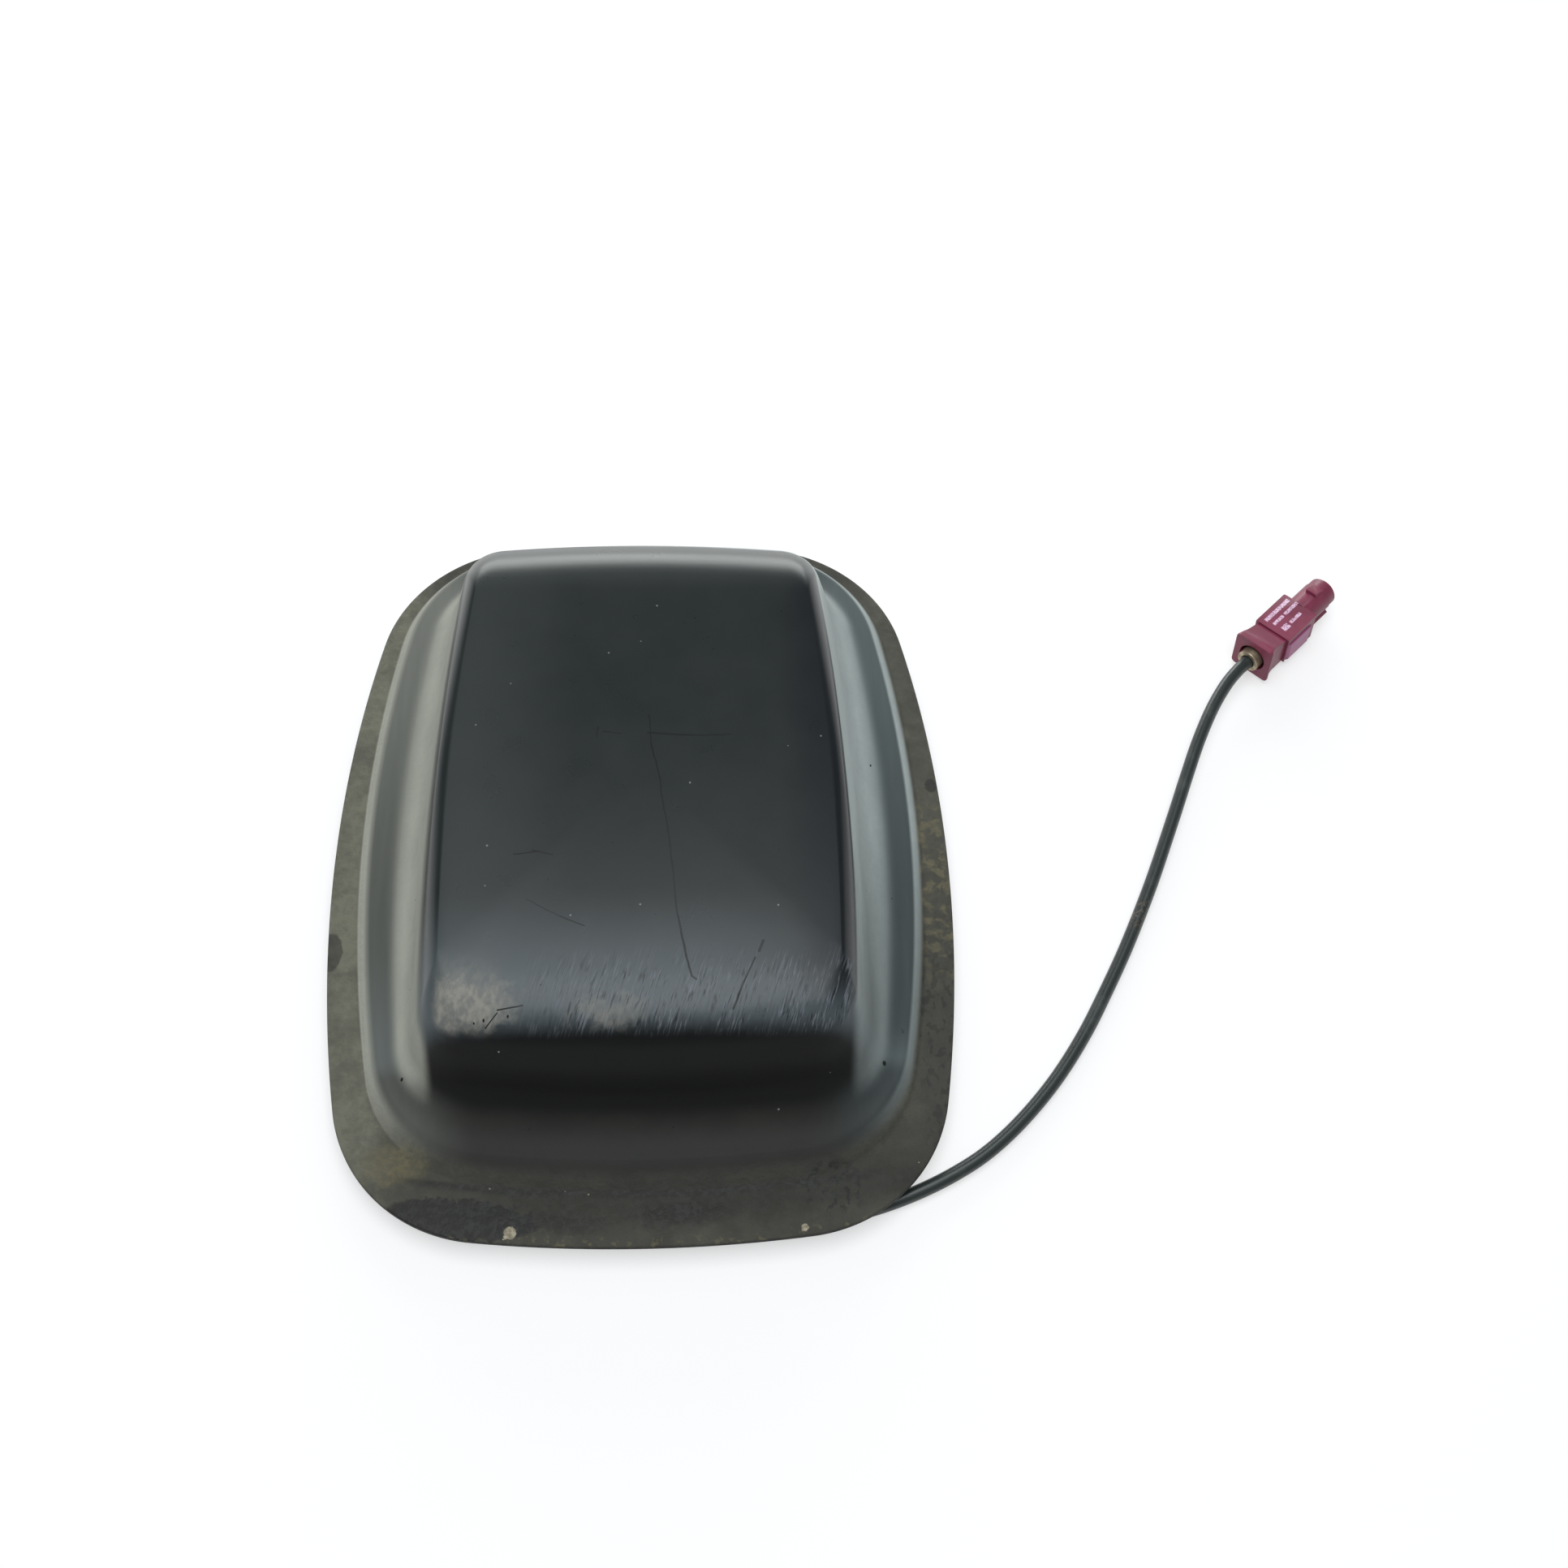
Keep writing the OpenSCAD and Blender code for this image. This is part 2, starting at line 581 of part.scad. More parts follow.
// Folded brass sheet over the ground plate, with a slit for its second band
module radiator() {
    slit = 2;
    color(brass) union() {
        difference() {
            union() {
                translate([0, aerial_y, radiator_z]) linear_extrude(sheet_t)
                    polygon(rounded(radiator_w, radiator_l, 6));
                for (s = [-1, 1]) translate([s*(radiator_w/2 - sheet_t/2), aerial_y,
                    radiator_z - radiator_lip]) translate([-sheet_t/2, -radiator_l*0.4, 0])
                    cube([sheet_t, radiator_l*0.8, radiator_lip + sheet_t]);
            }
            four(spacer_x, spacer_y, spacer_mid_y)
                translate([0, 0, radiator_z - 1]) cylinder(d = screw_d + 0.3, h = 3);
            lance(feed_x, radiator_z - board_z + feed_foot);
            lance(short_x, radiator_z - ground_z + short_foot);
            translate([-24, aerial_y + 17, radiator_z - radiator_lip - 1])
                cube([radiator_w, slit, radiator_lip + 3]);
            translate([-24, aerial_y + 17, radiator_z - 1]) cube([slit, 22, 3]);
        }
        tongue(feed_x, board_z, feed_foot);
        difference() {
            tongue(short_x, ground_z, short_foot);
            translate([small_places[2][0], small_places[2][1], ground_z - 1])
                cylinder(r = small_d/2 + screw_gap, h = 3);
        }
    }
}

// Plastic posts that carry the radiator
module spacers() {
    color([0.85, 0.84, 0.8]) four(spacer_x, spacer_y, spacer_mid_y) difference() {
        union() {
            translate([0, 0, ground_z]) cylinder(d = spacer_d, h = radiator_z - ground_z);
            translate([0, 0, ground_low - 1.5]) cylinder(d = spigot_d, h = sheet_t + 1.5 + eps);
        }
        translate([0, 0, radiator_z - radiator_screw_l - 0.5])
            cylinder(r = screw_d/2 + screw_gap, h = radiator_screw_l + 2);
    }
}

// Self-tapping screws of the radiator, in the posts
module radiator_screws() {
    color(tin) four(spacer_x, spacer_y, spacer_mid_y)
        translate([0, 0, radiator_z + sheet_t])
        screw(screw_d, screw_head_d, screw_head_h, radiator_screw_l);
}

// Circuit board of the matching circuit, on the ground plate
module feed_board() {
    color([0.1, 0.32, 0.2]) translate([board_at[0], board_at[1], ground_z]) difference() {
        cube(board);
        for (x = [3, board[0] - 3]) translate([x, board[1] - 3, -1]) cylinder(d = 1.6, h = 4);
    }
}

// Wound coil and two chips on the board
module board_parts() {
    turns = 4;
    wire = 0.6;
    coil_r = 1.5;
    coil_at = [4, 6];
    color([0.62, 0.4, 0.25])
        translate([board_at[0] + coil_at[0], board_at[1] + coil_at[1], board_z + coil_r + wire/2])
        rotate([0, 90, 0]) for (i = [0:turns - 1]) translate([0, 0, i*wire*0.95])
        rotate_extrude($fn = 32) translate([coil_r, 0]) circle(d = wire, $fn = 16);
    color([0.35, 0.3, 0.28]) for (p = [[17.5, 5], [20.5, 12]])
        translate([board_at[0] + p[0], board_at[1] + p[1], board_z]) cube([1.3, 2, 0.9]);
}

// The cable inside the tray, from the grommet up to the clamp
module cable_lead_in() {
    color([0.12, 0.13, 0.13]) tube(smooth(lead_points, 2), cable_d/2, tube_sides);
}

module along_y(y0, y1, d) {
    translate([lead_x, y0, core_z]) rotate([-90, 0, 0]) cylinder(d = d, h = y1 - y0);
}

// Bared braid, insulation and conductor
module cable_braid() {
    color(tin) along_y(jacket_y, braid_y, braid_d);
}
module cable_insulation() {
    color([0.9, 0.89, 0.85]) along_y(braid_y, insulation_y, insulation_d);
}
module cable_core() {
    color(copper) along_y(insulation_y, core_y, core_d);
}

// Tinned saddle that grips the braid and earths it
module cable_clamp() {
    wide = small_head_d + 0.2;
    thick = clamp_t;
    inner = braid_d/2 + 0.03;
    color(tin) translate([lead_x, clamp_y - wide/2, 0]) difference() {
        union() {
            translate([0, 0, core_z]) rotate([-90, 0, 0]) cylinder(r = inner + thick, h = wide);
            translate([-inner - thick, 0, ground_z])
                cube([2*(inner + thick), wide, core_z - ground_z]);
            translate([-clamp_x - wide/2, 0, ground_z]) cube([2*clamp_x + wide, wide, thick]);
        }
        translate([0, -1, core_z]) rotate([-90, 0, 0]) cylinder(r = inner, h = wide + 2);
        translate([-inner, -1, ground_z - 1]) cube([2*inner, wide + 2, core_z - ground_z + 1]);
        for (s = [-1, 1]) translate([s*clamp_x, wide/2, ground_z - 1])
            cylinder(r = small_d/2 + screw_gap, h = 3);
    }
}

// Two screws of the clamp and one in the foot of the shorting leg
module small_screws() {
    seats = [clamp_t, clamp_t, sheet_t];
    color(tin) for (i = [0:2]) translate([small_places[i][0], small_places[i][1],
        ground_z + seats[i]]) screw(small_d, small_head_d, small_head_h, small_screw_l);
}

// Solder at the end of the core and along the foot of the feed tongue
module feed_solder() {
    color([0.8, 0.8, 0.78]) {
        difference() {
            translate([lead_x, core_y - 1.5, board_z]) cylinder(r1 = 1.9, r2 = 1, h = 1.5);
            along_y(core_y - 9, core_y, core_d + 0.02);
        }
        translate([feed_x + tongue_w/2, aerial_front + sheet_t + feed_foot, board_z])
            translate([-2, 0, 0]) cube([4, 1, 0.6]);
    }
}

// Free coaxial lead from the grommet to the plug
module antenna_cable() {
    color([0.12, 0.13, 0.13]) tube(cable_points, cable_d/2, tube_sides);
}

// The plug's own frame: +X along its axis from the middle of its back face
module at_plug() {
    translate(plug_at) rotate(plug_turn) rotate([-plug_roll, 0, 0]) children();
}

// Round bar or hole along the plug's axis
module round_x(x0, x1, r) {
    translate([x0, 0, 0]) rotate([0, 90, 0]) cylinder(r = r, h = x1 - x0);
}

block_end = plug_neck + plug_block;
block_top = 3.8;
ferrule_x = [-1.9, 7];
ferrule_seat = 0.05;
lock_x = [8.3, 17.8];
lock_gap = 0.1;

// Body of the plug in plan: thin rear edge, hollow flare to the neck and label block
function plug_plan() = let(w = plug_w/2, b = plug_block_w/2, neck = b - 0.7, edge = 0.5)
    concat([[0, w]],
        [for (i = [0:6]) [edge + flare_l*(1 - cos(i*15)), w - (w - neck)*sin(i*15)]],
        [[plug_neck, neck], [plug_neck, b], [block_end - 0.8, b], [block_end, b - 0.8]]);

// Plan of the secondary lock, which stands a little out of the block's side
lock_out = plug_block_w/2 + 0.4;
lock_in = shield_d/2 + 0.4;
function lock_plan(g) = [[lock_x[0] - g, g - lock_in], [lock_x[0] - g, 0.4 - lock_out - g],
    [lock_x[0] + 0.8, -lock_out - g], [lock_x[1] - 0.4, -lock_out - g],
    [lock_x[1] + g, 0.4 - lock_out - g], [lock_x[1] + g, g - lock_in]];
lock_low = -4.4;
lock_high = 1.6;

// Catch on the nose: a ramp that rises from the tip side
module nose_catch() {
    wide = 3;
    reach = plug_l - nose_tip - 0.3;
    rotate([90, 0, 0]) translate([0, 0, -wide/2]) linear_extrude(wide)
        polygon([[reach - 3.6, nose_d/2 - 1], [reach - 3.6, nose_d/2 + 1],
            [reach - 3, nose_d/2 + 1], [reach, nose_d/2 - 0.2], [reach, nose_d/2 - 1]]);
}

// Claret plastic body of the plug
module plug_housing() {
    tip = plug_l;
    nose_r = nose_d/2;
    tip_r = (nose_d - nose_relief)/2;
    nose_bore = shield_d/2 + nose_gap;
    color(claret) at_plug() difference() {
        union() {
            intersection() {
                translate([0, 0, -plug_w/2]) linear_extrude(plug_w)
                    polygon(concat(plug_plan(), flip([for (p = plug_plan()) [p[0], -p[1]]])));
                rotate([90, 0, 0]) translate([0, 0, -plug_w/2]) linear_extrude(plug_w)
                    polygon([[0, -plug_w/2], [1.6, -plug_w/2], [3.4, -4.7], [block_end, -4.7],
                        [block_end, block_top - 0.6], [block_end - 0.6, block_top],
                        [plug_neck, block_top], [plug_neck, block_top - 0.5],
                        [1.4, plug_w/2], [0, plug_w/2]]);
                rotate([90, 0, 90]) linear_extrude(block_end + 1)
                    polygon(rounded(plug_w, plug_w, 1.1));
            }
            rotate([0, 90, 0]) rotate_extrude() polygon([[0, block_end - 1],
                [nose_r, block_end - 1], [nose_r, tip - nose_tip],
                [tip_r, tip - nose_tip], [tip_r, tip - 0.5], [tip_r - 0.5, tip], [0, tip]]);
            nose_catch();
            // Coding ribs, which stop short of the tip
            for (a = [-38, -142]) rotate([a - 90, 0, 0]) translate([block_end - 0.5, -0.7, 0])
                cube([plug_l - nose_tip - block_end, 1.4, nose_d/2 + 0.8]);
        }
        round_x(-1, ferrule_x[1] - 1, ferrule_d/2 + 0.75);
        round_x(-1, ferrule_x[1] + 0.5, ferrule_d/2 + ferrule_seat);
        round_x(-1, tip + 1, shield_d/2 + ferrule_seat);
        round_x(block_end + 1, tip + 1, nose_bore);
        translate([0, 0, lock_low - 3]) linear_extrude(lock_high - lock_low + 3 + lock_gap)
            polygon(lock_plan(lock_gap));
    }
}

// Secondary lock, pushed home in the side of the plug
module plug_lock() {
    color([0.62, 0.3, 0.42]) at_plug() difference() {
        translate([0, 0, lock_low]) linear_extrude(lock_high - lock_low) polygon(lock_plan(0));
        round_x(0, plug_l, shield_d/2 + 0.5);
        translate([lock_x[0] - 1, -8, lock_high - 1.4]) rotate([45, 0, 0]) cube([12, 2, 2]);
    }
}

// Metal sleeve crimped round the cable, in the plug's back
module crimp_ferrule() {
    color([0.7, 0.66, 0.55]) at_plug() difference() {
        round_x(ferrule_x[0], ferrule_x[1], ferrule_d/2);
        round_x(ferrule_x[0] - 1, cable_seat, cable_d/2 + cable_gap);
    }
}

// Shield tube, insulator and pin of the coaxial contact
module shield_contact() {
    color(tin) at_plug() difference() {
        round_x(ferrule_x[1], plug_l - 1.4, shield_d/2);
        round_x(ferrule_x[1] + 1.5, plug_l, shield_d/2 - 0.4);
    }
}
insulator_x = [ferrule_x[1] + 1.5, plug_l - 7];
module contact_insulator() {
    color([0.93, 0.92, 0.88]) at_plug() difference() {
        round_x(insulator_x[0], insulator_x[1], shield_d/2 - 0.45);
        round_x(0, plug_l, 0.65);
    }
}
module centre_pin() {
    color([0.85, 0.7, 0.35]) at_plug() union() {
        round_x(insulator_x[0], plug_l - 2.8, 0.6);
        translate([plug_l - 2.8, 0, 0]) rotate([0, 90, 0]) cylinder(r1 = 0.6, r2 = 0.25, h = 0.7);
    }
}

cover();
base_tray();
mounting_pad();
cover_gasket();
cable_grommet();
ground_plate();
ground_screws();
radiator();
spacers();
radiator_screws();
feed_board();
board_parts();
cable_lead_in();
cable_braid();
cable_insulation();
cable_core();
cable_clamp();
small_screws();
feed_solder();
antenna_cable();
plug_housing();
plug_lock();
crimp_ferrule();
shield_contact();
contact_insulator();
centre_pin();
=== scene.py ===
"""Looks of a car telephone aerial: a scuffed black hump cover with a dusty flange, its short
coaxial lead and a claret coded plug. Lengths are in metres, and in millimetres where a name
ends in _mm or a shader measures them."""

import math

import bmesh
import bpy
import numpy as np
from mathutils import Matrix, Vector


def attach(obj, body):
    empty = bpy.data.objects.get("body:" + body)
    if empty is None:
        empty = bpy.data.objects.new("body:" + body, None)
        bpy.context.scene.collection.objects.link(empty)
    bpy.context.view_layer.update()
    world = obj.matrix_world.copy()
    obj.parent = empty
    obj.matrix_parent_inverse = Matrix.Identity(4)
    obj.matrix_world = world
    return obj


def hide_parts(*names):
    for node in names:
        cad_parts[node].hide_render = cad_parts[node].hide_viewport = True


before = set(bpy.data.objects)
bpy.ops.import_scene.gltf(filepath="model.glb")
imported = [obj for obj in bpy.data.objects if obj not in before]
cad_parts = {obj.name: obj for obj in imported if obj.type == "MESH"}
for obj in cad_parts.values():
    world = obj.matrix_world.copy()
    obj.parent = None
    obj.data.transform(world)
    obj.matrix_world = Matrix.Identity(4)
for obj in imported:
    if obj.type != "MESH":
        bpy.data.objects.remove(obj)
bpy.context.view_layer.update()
MM = 0.001

# Camera: it stands above the near end of the aerial, a little to its right, looks down at 59
# degrees and leans slightly, as the photograph was taken.
camera_yaw, camera_pitch, camera_roll = (math.radians(a) for a in (6.0095, 59.0, -4.7122))
forward = Vector((math.sin(camera_yaw) * math.cos(camera_pitch),
                  math.cos(camera_yaw) * math.cos(camera_pitch), -math.sin(camera_pitch)))
level = Vector((math.cos(camera_yaw), -math.sin(camera_yaw), 0))
below = forward.cross(level)
right = math.cos(camera_roll) * level + math.sin(camera_roll) * below
down = math.cos(camera_roll) * below - math.sin(camera_roll) * level
camera = bpy.data.objects.new("camera", bpy.data.cameras.new("camera"))
bpy.context.scene.collection.objects.link(camera)
camera.matrix_world = Matrix.Translation(Vector((8.376, -220.368, 409.612)) * MM) @ Matrix(
    (right, -down, -forward)).transposed().to_4x4()
camera.data.sensor_width = 36
camera.data.lens = 44.72
camera.data.clip_start = 0.01
bpy.context.scene.camera = camera

# Lead: a black coaxial cable that leaves under the flange at the near right corner, lies on the
# table in one long curve, and lifts a little into the back of the plug. It is one smooth round
# jacket with a semi-gloss skin.
exit_at = Vector((17, -79.9614, 2.35)) * MM
exit_way = Vector((math.cos(math.radians(24)), -math.sin(math.radians(24)), 0))
plug_at = Vector((154.3, 57.3, 6)) * MM
plug_turn = math.radians(43.5)
plug_way = Vector((math.cos(plug_turn), math.sin(plug_turn), 0))
cable_diameter = 0.0033
cable_route = [exit_at, exit_at + 4 * MM * exit_way] + [Vector(p) * MM for p in [
    (25, -83.2, 2.1), (29.5, -84.7, 1.9), (35, -85.6, 1.8), (41, -85.6, 1.8), (47.5, -84.5, 1.8),
    (54, -82.6, 1.8), (61, -79.9, 1.8), (68, -76.5, 1.8), (75, -72.2, 1.8), (82, -66.4, 1.8),
    (89, -59.2, 1.8), (95, -51.8, 1.8), (101, -43, 1.8), (106.5, -33.6, 1.8), (112, -23.6, 1.9),
    (117, -13.6, 2.1), (121.5, -4, 2.5), (125.5, 5.2, 2.9), (129.5, 14.6, 3.4), (133.5, 24.2, 4),
    (137.5, 33.4, 4.7), (142, 42.2, 5.3), (146.4, 49, 5.8)]] + [
    plug_at + reach * MM * plug_way for reach in (-6, -3, 0, 3)]
points_between = 6


def curve_through(points):
    """Points along a smooth line through all of the given ones."""
    line = []
    for i in range(len(points) - 1):
        a, b, c, d = (points[min(max(k, 0), len(points) - 1)] for k in range(i - 1, i + 3))
        for t in np.arange(points_between) / points_between:
            line.append(0.5 * (2 * b + (c - a) * t + (2 * a - 5 * b + 4 * c - d) * t * t
                               + (3 * b - a - 3 * c + d) * t ** 3))
    return line + [points[-1]]


def new_piece(name, data):
    piece = bpy.data.objects.new(name, data)
    bpy.context.scene.collection.objects.link(piece)
    return piece


cable_line = curve_through(cable_route)
cable_curve = bpy.data.curves.new("lead", "CURVE")
cable_curve.dimensions = "3D"
cable_curve.bevel_depth = cable_diameter / 2
cable_curve.bevel_resolution = 7
cable_curve.use_fill_caps = True
spline = cable_curve.splines.new("POLY")
spline.points.add(len(cable_line) - 1)
for point, at in zip(spline.points, cable_line):
    point.co = (*at, 1)
spline.use_smooth = True
lead = new_piece("lead", cable_curve)


class Tap:
    """One output in a finish's node tree, on which sums are written as on a number."""

    def __init__(self, tree, socket):
        self.tree = tree
        self.socket = socket

    def node(self, kind, settings=(), values=(), out=0):
        made = self.tree.nodes.new(kind)
        for name, setting in dict(settings).items():
            setattr(made, name, setting)
        for key, value in dict(values).items():
            if isinstance(value, Tap):
                self.tree.links.new(value.socket, made.inputs[key])
            else:
                made.inputs[key].default_value = value
        return Tap(self.tree, made.outputs[out] if made.outputs else None)

    def math(self, operation, *values):
        return self.node("ShaderNodeMath", {"operation": operation}, enumerate(values))

    def __add__(self, other):
        return self.math("ADD", self, other)

    def __sub__(self, other):
        return self.math("SUBTRACT", self, other)

    def __rsub__(self, other):
        return self.math("SUBTRACT", other, self)

    def __mul__(self, other):
        return self.math("MULTIPLY", self, other)

    def __truediv__(self, other):
        return self.math("DIVIDE", self, other)

    def __rtruediv__(self, other):
        return self.math("DIVIDE", other, self)

    __radd__ = __add__
    __rmul__ = __mul__

    def most(self, other):
        return self.math("MAXIMUM", self, other)

    def least(self, other):
        return self.math("MINIMUM", self, other)

    def rise(self, low, high):
        """0 at low, 1 at high and beyond it, and smooth between. High may be the smaller."""
        return self.node("ShaderNodeMapRange", {"interpolation_type": "SMOOTHSTEP"},
                         {0: self, 1: low, 2: high})

    def vector(self, operation, *values, out=0):
        return self.node("ShaderNodeVectorMath", {"operation": operation}, enumerate(values), out)

    def axes(self):
        first = self.node("ShaderNodeSeparateXYZ", (), {0: self})
        return [Tap(self.tree, socket) for socket in first.socket.node.outputs]

    def over(self, under, top):
        """The colour under where this is 0, and the colour top where it is 1."""
        return self.node("ShaderNodeMix", {"data_type": "RGBA"},
                         {0: self, 6: colour(under), 7: colour(top)}, 2)

    def noise(self, grain_mm, detail=3, stretch=(1, 1, 1), twist=0):
        """Cloudy values from 0 to 1, in patches of about that size drawn out by stretch."""
        scale = [1 / (grain_mm * s) for s in stretch]
        return self.node("ShaderNodeTexNoise", (), {
            "Vector": self.vector("MULTIPLY", self, scale), "Scale": 1, "Detail": detail,
            "Roughness": 0.55, "Distortion": twist})

    def specks(self, pitch_mm, size, share):
        """Small dots in a share of random cells of that pitch."""
        cells = self.node("ShaderNodeTexVoronoi", (), {"Vector": self, "Scale": 1 / pitch_mm})
        lot = Tap(self.tree, cells.socket.node.outputs["Color"]).axes()[0]
        return cells.rise(size, size * 0.6) * lot.rise(1 - share + 0.01, 1 - share + 0.02)


def colour(value):
    return value if isinstance(value, Tap) else (*value, 1)


def finish(name):
    """A new material, and the place on its piece in millimetres."""
    material = bpy.data.materials.new(name)
    material.use_nodes = True
    material.node_tree.nodes.clear()
    place = Tap(material.node_tree, None).node("ShaderNodeTexCoord", out="Object")
    return material, place.vector("MULTIPLY", place, (1 / MM,) * 3)


def lay(place, base, rough, height_mm=None, **rest):
    """Ends a finish with its shader. The height is the relief of the surface."""
    values = {"Base Color": colour(base), "Roughness": rough, **rest}
    if height_mm is not None:
        values["Normal"] = place.node("ShaderNodeBump", (), {"Height": height_mm, "Distance": MM})
    shader = place.node("ShaderNodeBsdfPrincipled", (), values)
    place.node("ShaderNodeOutputMaterial", (), {"Surface": shader})


jacket, place = finish("cable_jacket")
x, y, z = place.axes()
handled = place.noise(9, 3).rise(0.5, 0.7)
rubbed = place.vector("DISTANCE", place, (117, -14, 3.4), out="Value").rise(6, 2)
rubbed = rubbed * place.noise(0.7, 2).rise(0.52, 0.62)
black = handled.over((0.022, 0.029, 0.027), (0.034, 0.043, 0.04))
lay(place, rubbed.over(black, (0.09, 0.07, 0.055)), handled * 0.12 + 0.3,
    place.noise(2.5, 2) * 0.012 + place.noise(0.3, 1) * 0.003)
cable_curve.materials.append(jacket)
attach(lead, "root")
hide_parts("antenna_cable")

# Plug: a moulded claret plastic housing with a hollow flare at the back, a label block, and a
# round nose with a catch and coding ribs. Its edges are softly rounded, and a paler plastic lock
# is pushed into its side.


def dress(piece, material, smooth_under=None):
    """Gives a piece one finish, and smooth shading where its faces meet under an angle."""
    piece.data.materials.clear()
    piece.data.materials.append(material)
    if smooth_under is not None:
        piece.data.set_sharp_from_angle(angle=math.radians(smooth_under))
    return piece


def softened(node, radius, angle=35):
    """A copy of a construction piece with its sharp edges rounded, in the piece's place."""
    shape = bmesh.new()
    shape.from_mesh(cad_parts[node].data)
    bmesh.ops.remove_doubles(shape, verts=shape.verts, dist=2e-6)
    bmesh.ops.dissolve_limit(shape, angle_limit=math.radians(0.5), verts=shape.verts,
                             edges=shape.edges)
    data = bpy.data.meshes.new(node)
    shape.to_mesh(data)
    shape.free()
    piece = new_piece("moulded_" + node, data)
    bevel = piece.modifiers.new("edges", "BEVEL")
    bevel.width = radius
    bevel.segments = 3
    bevel.limit_method = "ANGLE"
    bevel.angle_limit = math.radians(angle)
    bevel.harden_normals = False
    data.shade_smooth()
    data.set_sharp_from_angle(angle=math.radians(angle))
    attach(piece, "root")
    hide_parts(node)
    return piece


plug_roll = math.radians(-6)
plug_left = Vector((-math.sin(plug_turn), math.cos(plug_turn), 0))
plug_up = math.cos(plug_roll) * Vector((0, 0, 1)) - math.sin(plug_roll) * plug_left
plug_left = math.cos(plug_roll) * plug_left + math.sin(plug_roll) * Vector((0, 0, 1))


def on_plug(place):
    """The place along, across and above the plug's axis."""
    away = place.vector("SUBTRACT", place, plug_at / MM)
    return [away.vector("DOT_PRODUCT", away, axis, out="Value")
            for axis in (plug_way, plug_left, plug_up)]


def bar(u, v, along, across):
    """A rectangle between two lengths and two widths, with soft ends."""
    soft = 0.12
    return (u.rise(along[0], along[0] + soft) * u.rise(along[1], along[1] - soft)
            * v.rise(across[0], across[0] + soft) * v.rise(across[1], across[1] - soft))


claret, place = finish("plug_plastic")
u, v, w = on_plug(place)
ragged = place.noise(0.5, 3) - 0.5
label_bars = [((9.2, 18.9), (2.6, 3.8)), ((9.6, 13.6), (0.5, 1.5)), ((14.2, 19.6), (0.5, 1.5)),
              ((9.8, 12.2), (-2.6, -0.9)), ((12.9, 17.4), (-2.2, -1.2))]
label = 0
for along, across in label_bars:
    label = bar(u + ragged * 0.5, v + ragged * 0.4, along, across) + label
label = label * w.rise(3.4, 3.7) * place.noise(0.35, 2).rise(0.3, 0.55)
shade = place.noise(6, 3).rise(0.35, 0.7)
lay(place, label.over(shade.over((0.17, 0.022, 0.052), (0.22, 0.03, 0.07)), (0.72, 0.5, 0.66)),
    place.noise(2, 3) * 0.15 + 0.36, place.noise(0.25, 2) * 0.008)
housing = dress(softened("plug_housing", 0.0002), claret)

pink, place = finish("lock_plastic")
lay(place, place.noise(4, 2).over((0.3, 0.07, 0.17), (0.36, 0.095, 0.22)),
    place.noise(2, 3) * 0.15 + 0.34, place.noise(0.25, 2) * 0.008)
lock = dress(softened("plug_lock", 0.0002), pink)

# Contact of the plug: a crimp ferrule round the cable in warm dull nickel, a bright shield tube,
# a white insulator and a gilt pin.
nickel, place = finish("ferrule_nickel")
stained = place.noise(1.6, 3).rise(0.4, 0.65)
lay(place, stained.over((0.44, 0.38, 0.27), (0.3, 0.25, 0.17)), stained * 0.2 + 0.35,
    place.noise(0.4, 2) * 0.01, Metallic=0.85)
ferrule = dress(softened("crimp_ferrule", 0.0003), nickel)

bright, place = finish("contact_nickel")
lay(place, place.noise(2, 2).over((0.58, 0.56, 0.52), (0.46, 0.44, 0.4)),
    place.noise(3, 2, (1, 1, 0.1)) * 0.15 + 0.2, Metallic=1.0)
shield = dress(softened("shield_contact", 0.00008), bright)

white, place = finish("contact_plastic")
lay(place, place.noise(3, 2).over((0.82, 0.8, 0.74), (0.74, 0.71, 0.63)), 0.45)
insulator = dress(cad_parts["contact_insulator"], white, 40)

gilt, place = finish("pin_gold")
lay(place, place.noise(1, 2).over((0.75, 0.55, 0.22), (0.62, 0.42, 0.15)), 0.25, Metallic=1.0)
pin = dress(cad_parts["centre_pin"], gilt, 40)

# Pad: a closed-cell foam frame, die cut with rounded corners, that sticks the aerial to the car.
# Its cut edge shows the open cells.
foam, place = finish("foam")
cells = place.node("ShaderNodeTexVoronoi", (), {"Vector": place, "Scale": 2.2})
lay(place, cells.rise(0.2, 0.6).over((0.02, 0.02, 0.021), (0.06, 0.06, 0.062)),
    place.noise(2, 2) * 0.1 + 0.8, cells * 0.12)
dress(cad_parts["mounting_pad"], foam, 30)

# Tray: a black moulded tray that closes the cover from below, with bosses inside and shallow
# ribs under it. It has a fine mould grain, and road dust has settled along its edges.
tray_plastic, place = finish("tray_plastic")
x, y, z = place.axes()
settled = place.noise(14, 4).rise(0.4, 0.7) * (x * x / 5200 + y * y / 8600).rise(0.4, 1)
lay(place, settled.over((0.022, 0.023, 0.024), (0.06, 0.056, 0.045)),
    settled * 0.2 + place.noise(1.5, 2) * 0.1 + 0.45,
    place.noise(0.35, 2) * 0.03 + place.noise(3, 2) * 0.01)
dress(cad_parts["base_tray"], tray_plastic, 30)

# Ground plate: tinned steel sheet, bent up at its sides and held by four zinc plated screws into
# the tray's bosses. The tin has a fine grain along the sheet and dull clouds.


def metal(name, bright_tone, dull_tone, rough, grain=(1, 1, 1)):
    """Bare or plated metal with clouds of tarnish and a grain drawn out by its rolling."""
    material, place = finish(name)
    tarnish = place.noise(5, 4).rise(0.35, 0.7)
    lay(place, tarnish.over(bright_tone, dull_tone),
        place.noise(0.6, 2, grain) * 0.2 + tarnish * 0.1 + rough,
        place.noise(0.5, 2, grain) * 0.006, Metallic=1.0)
    return material


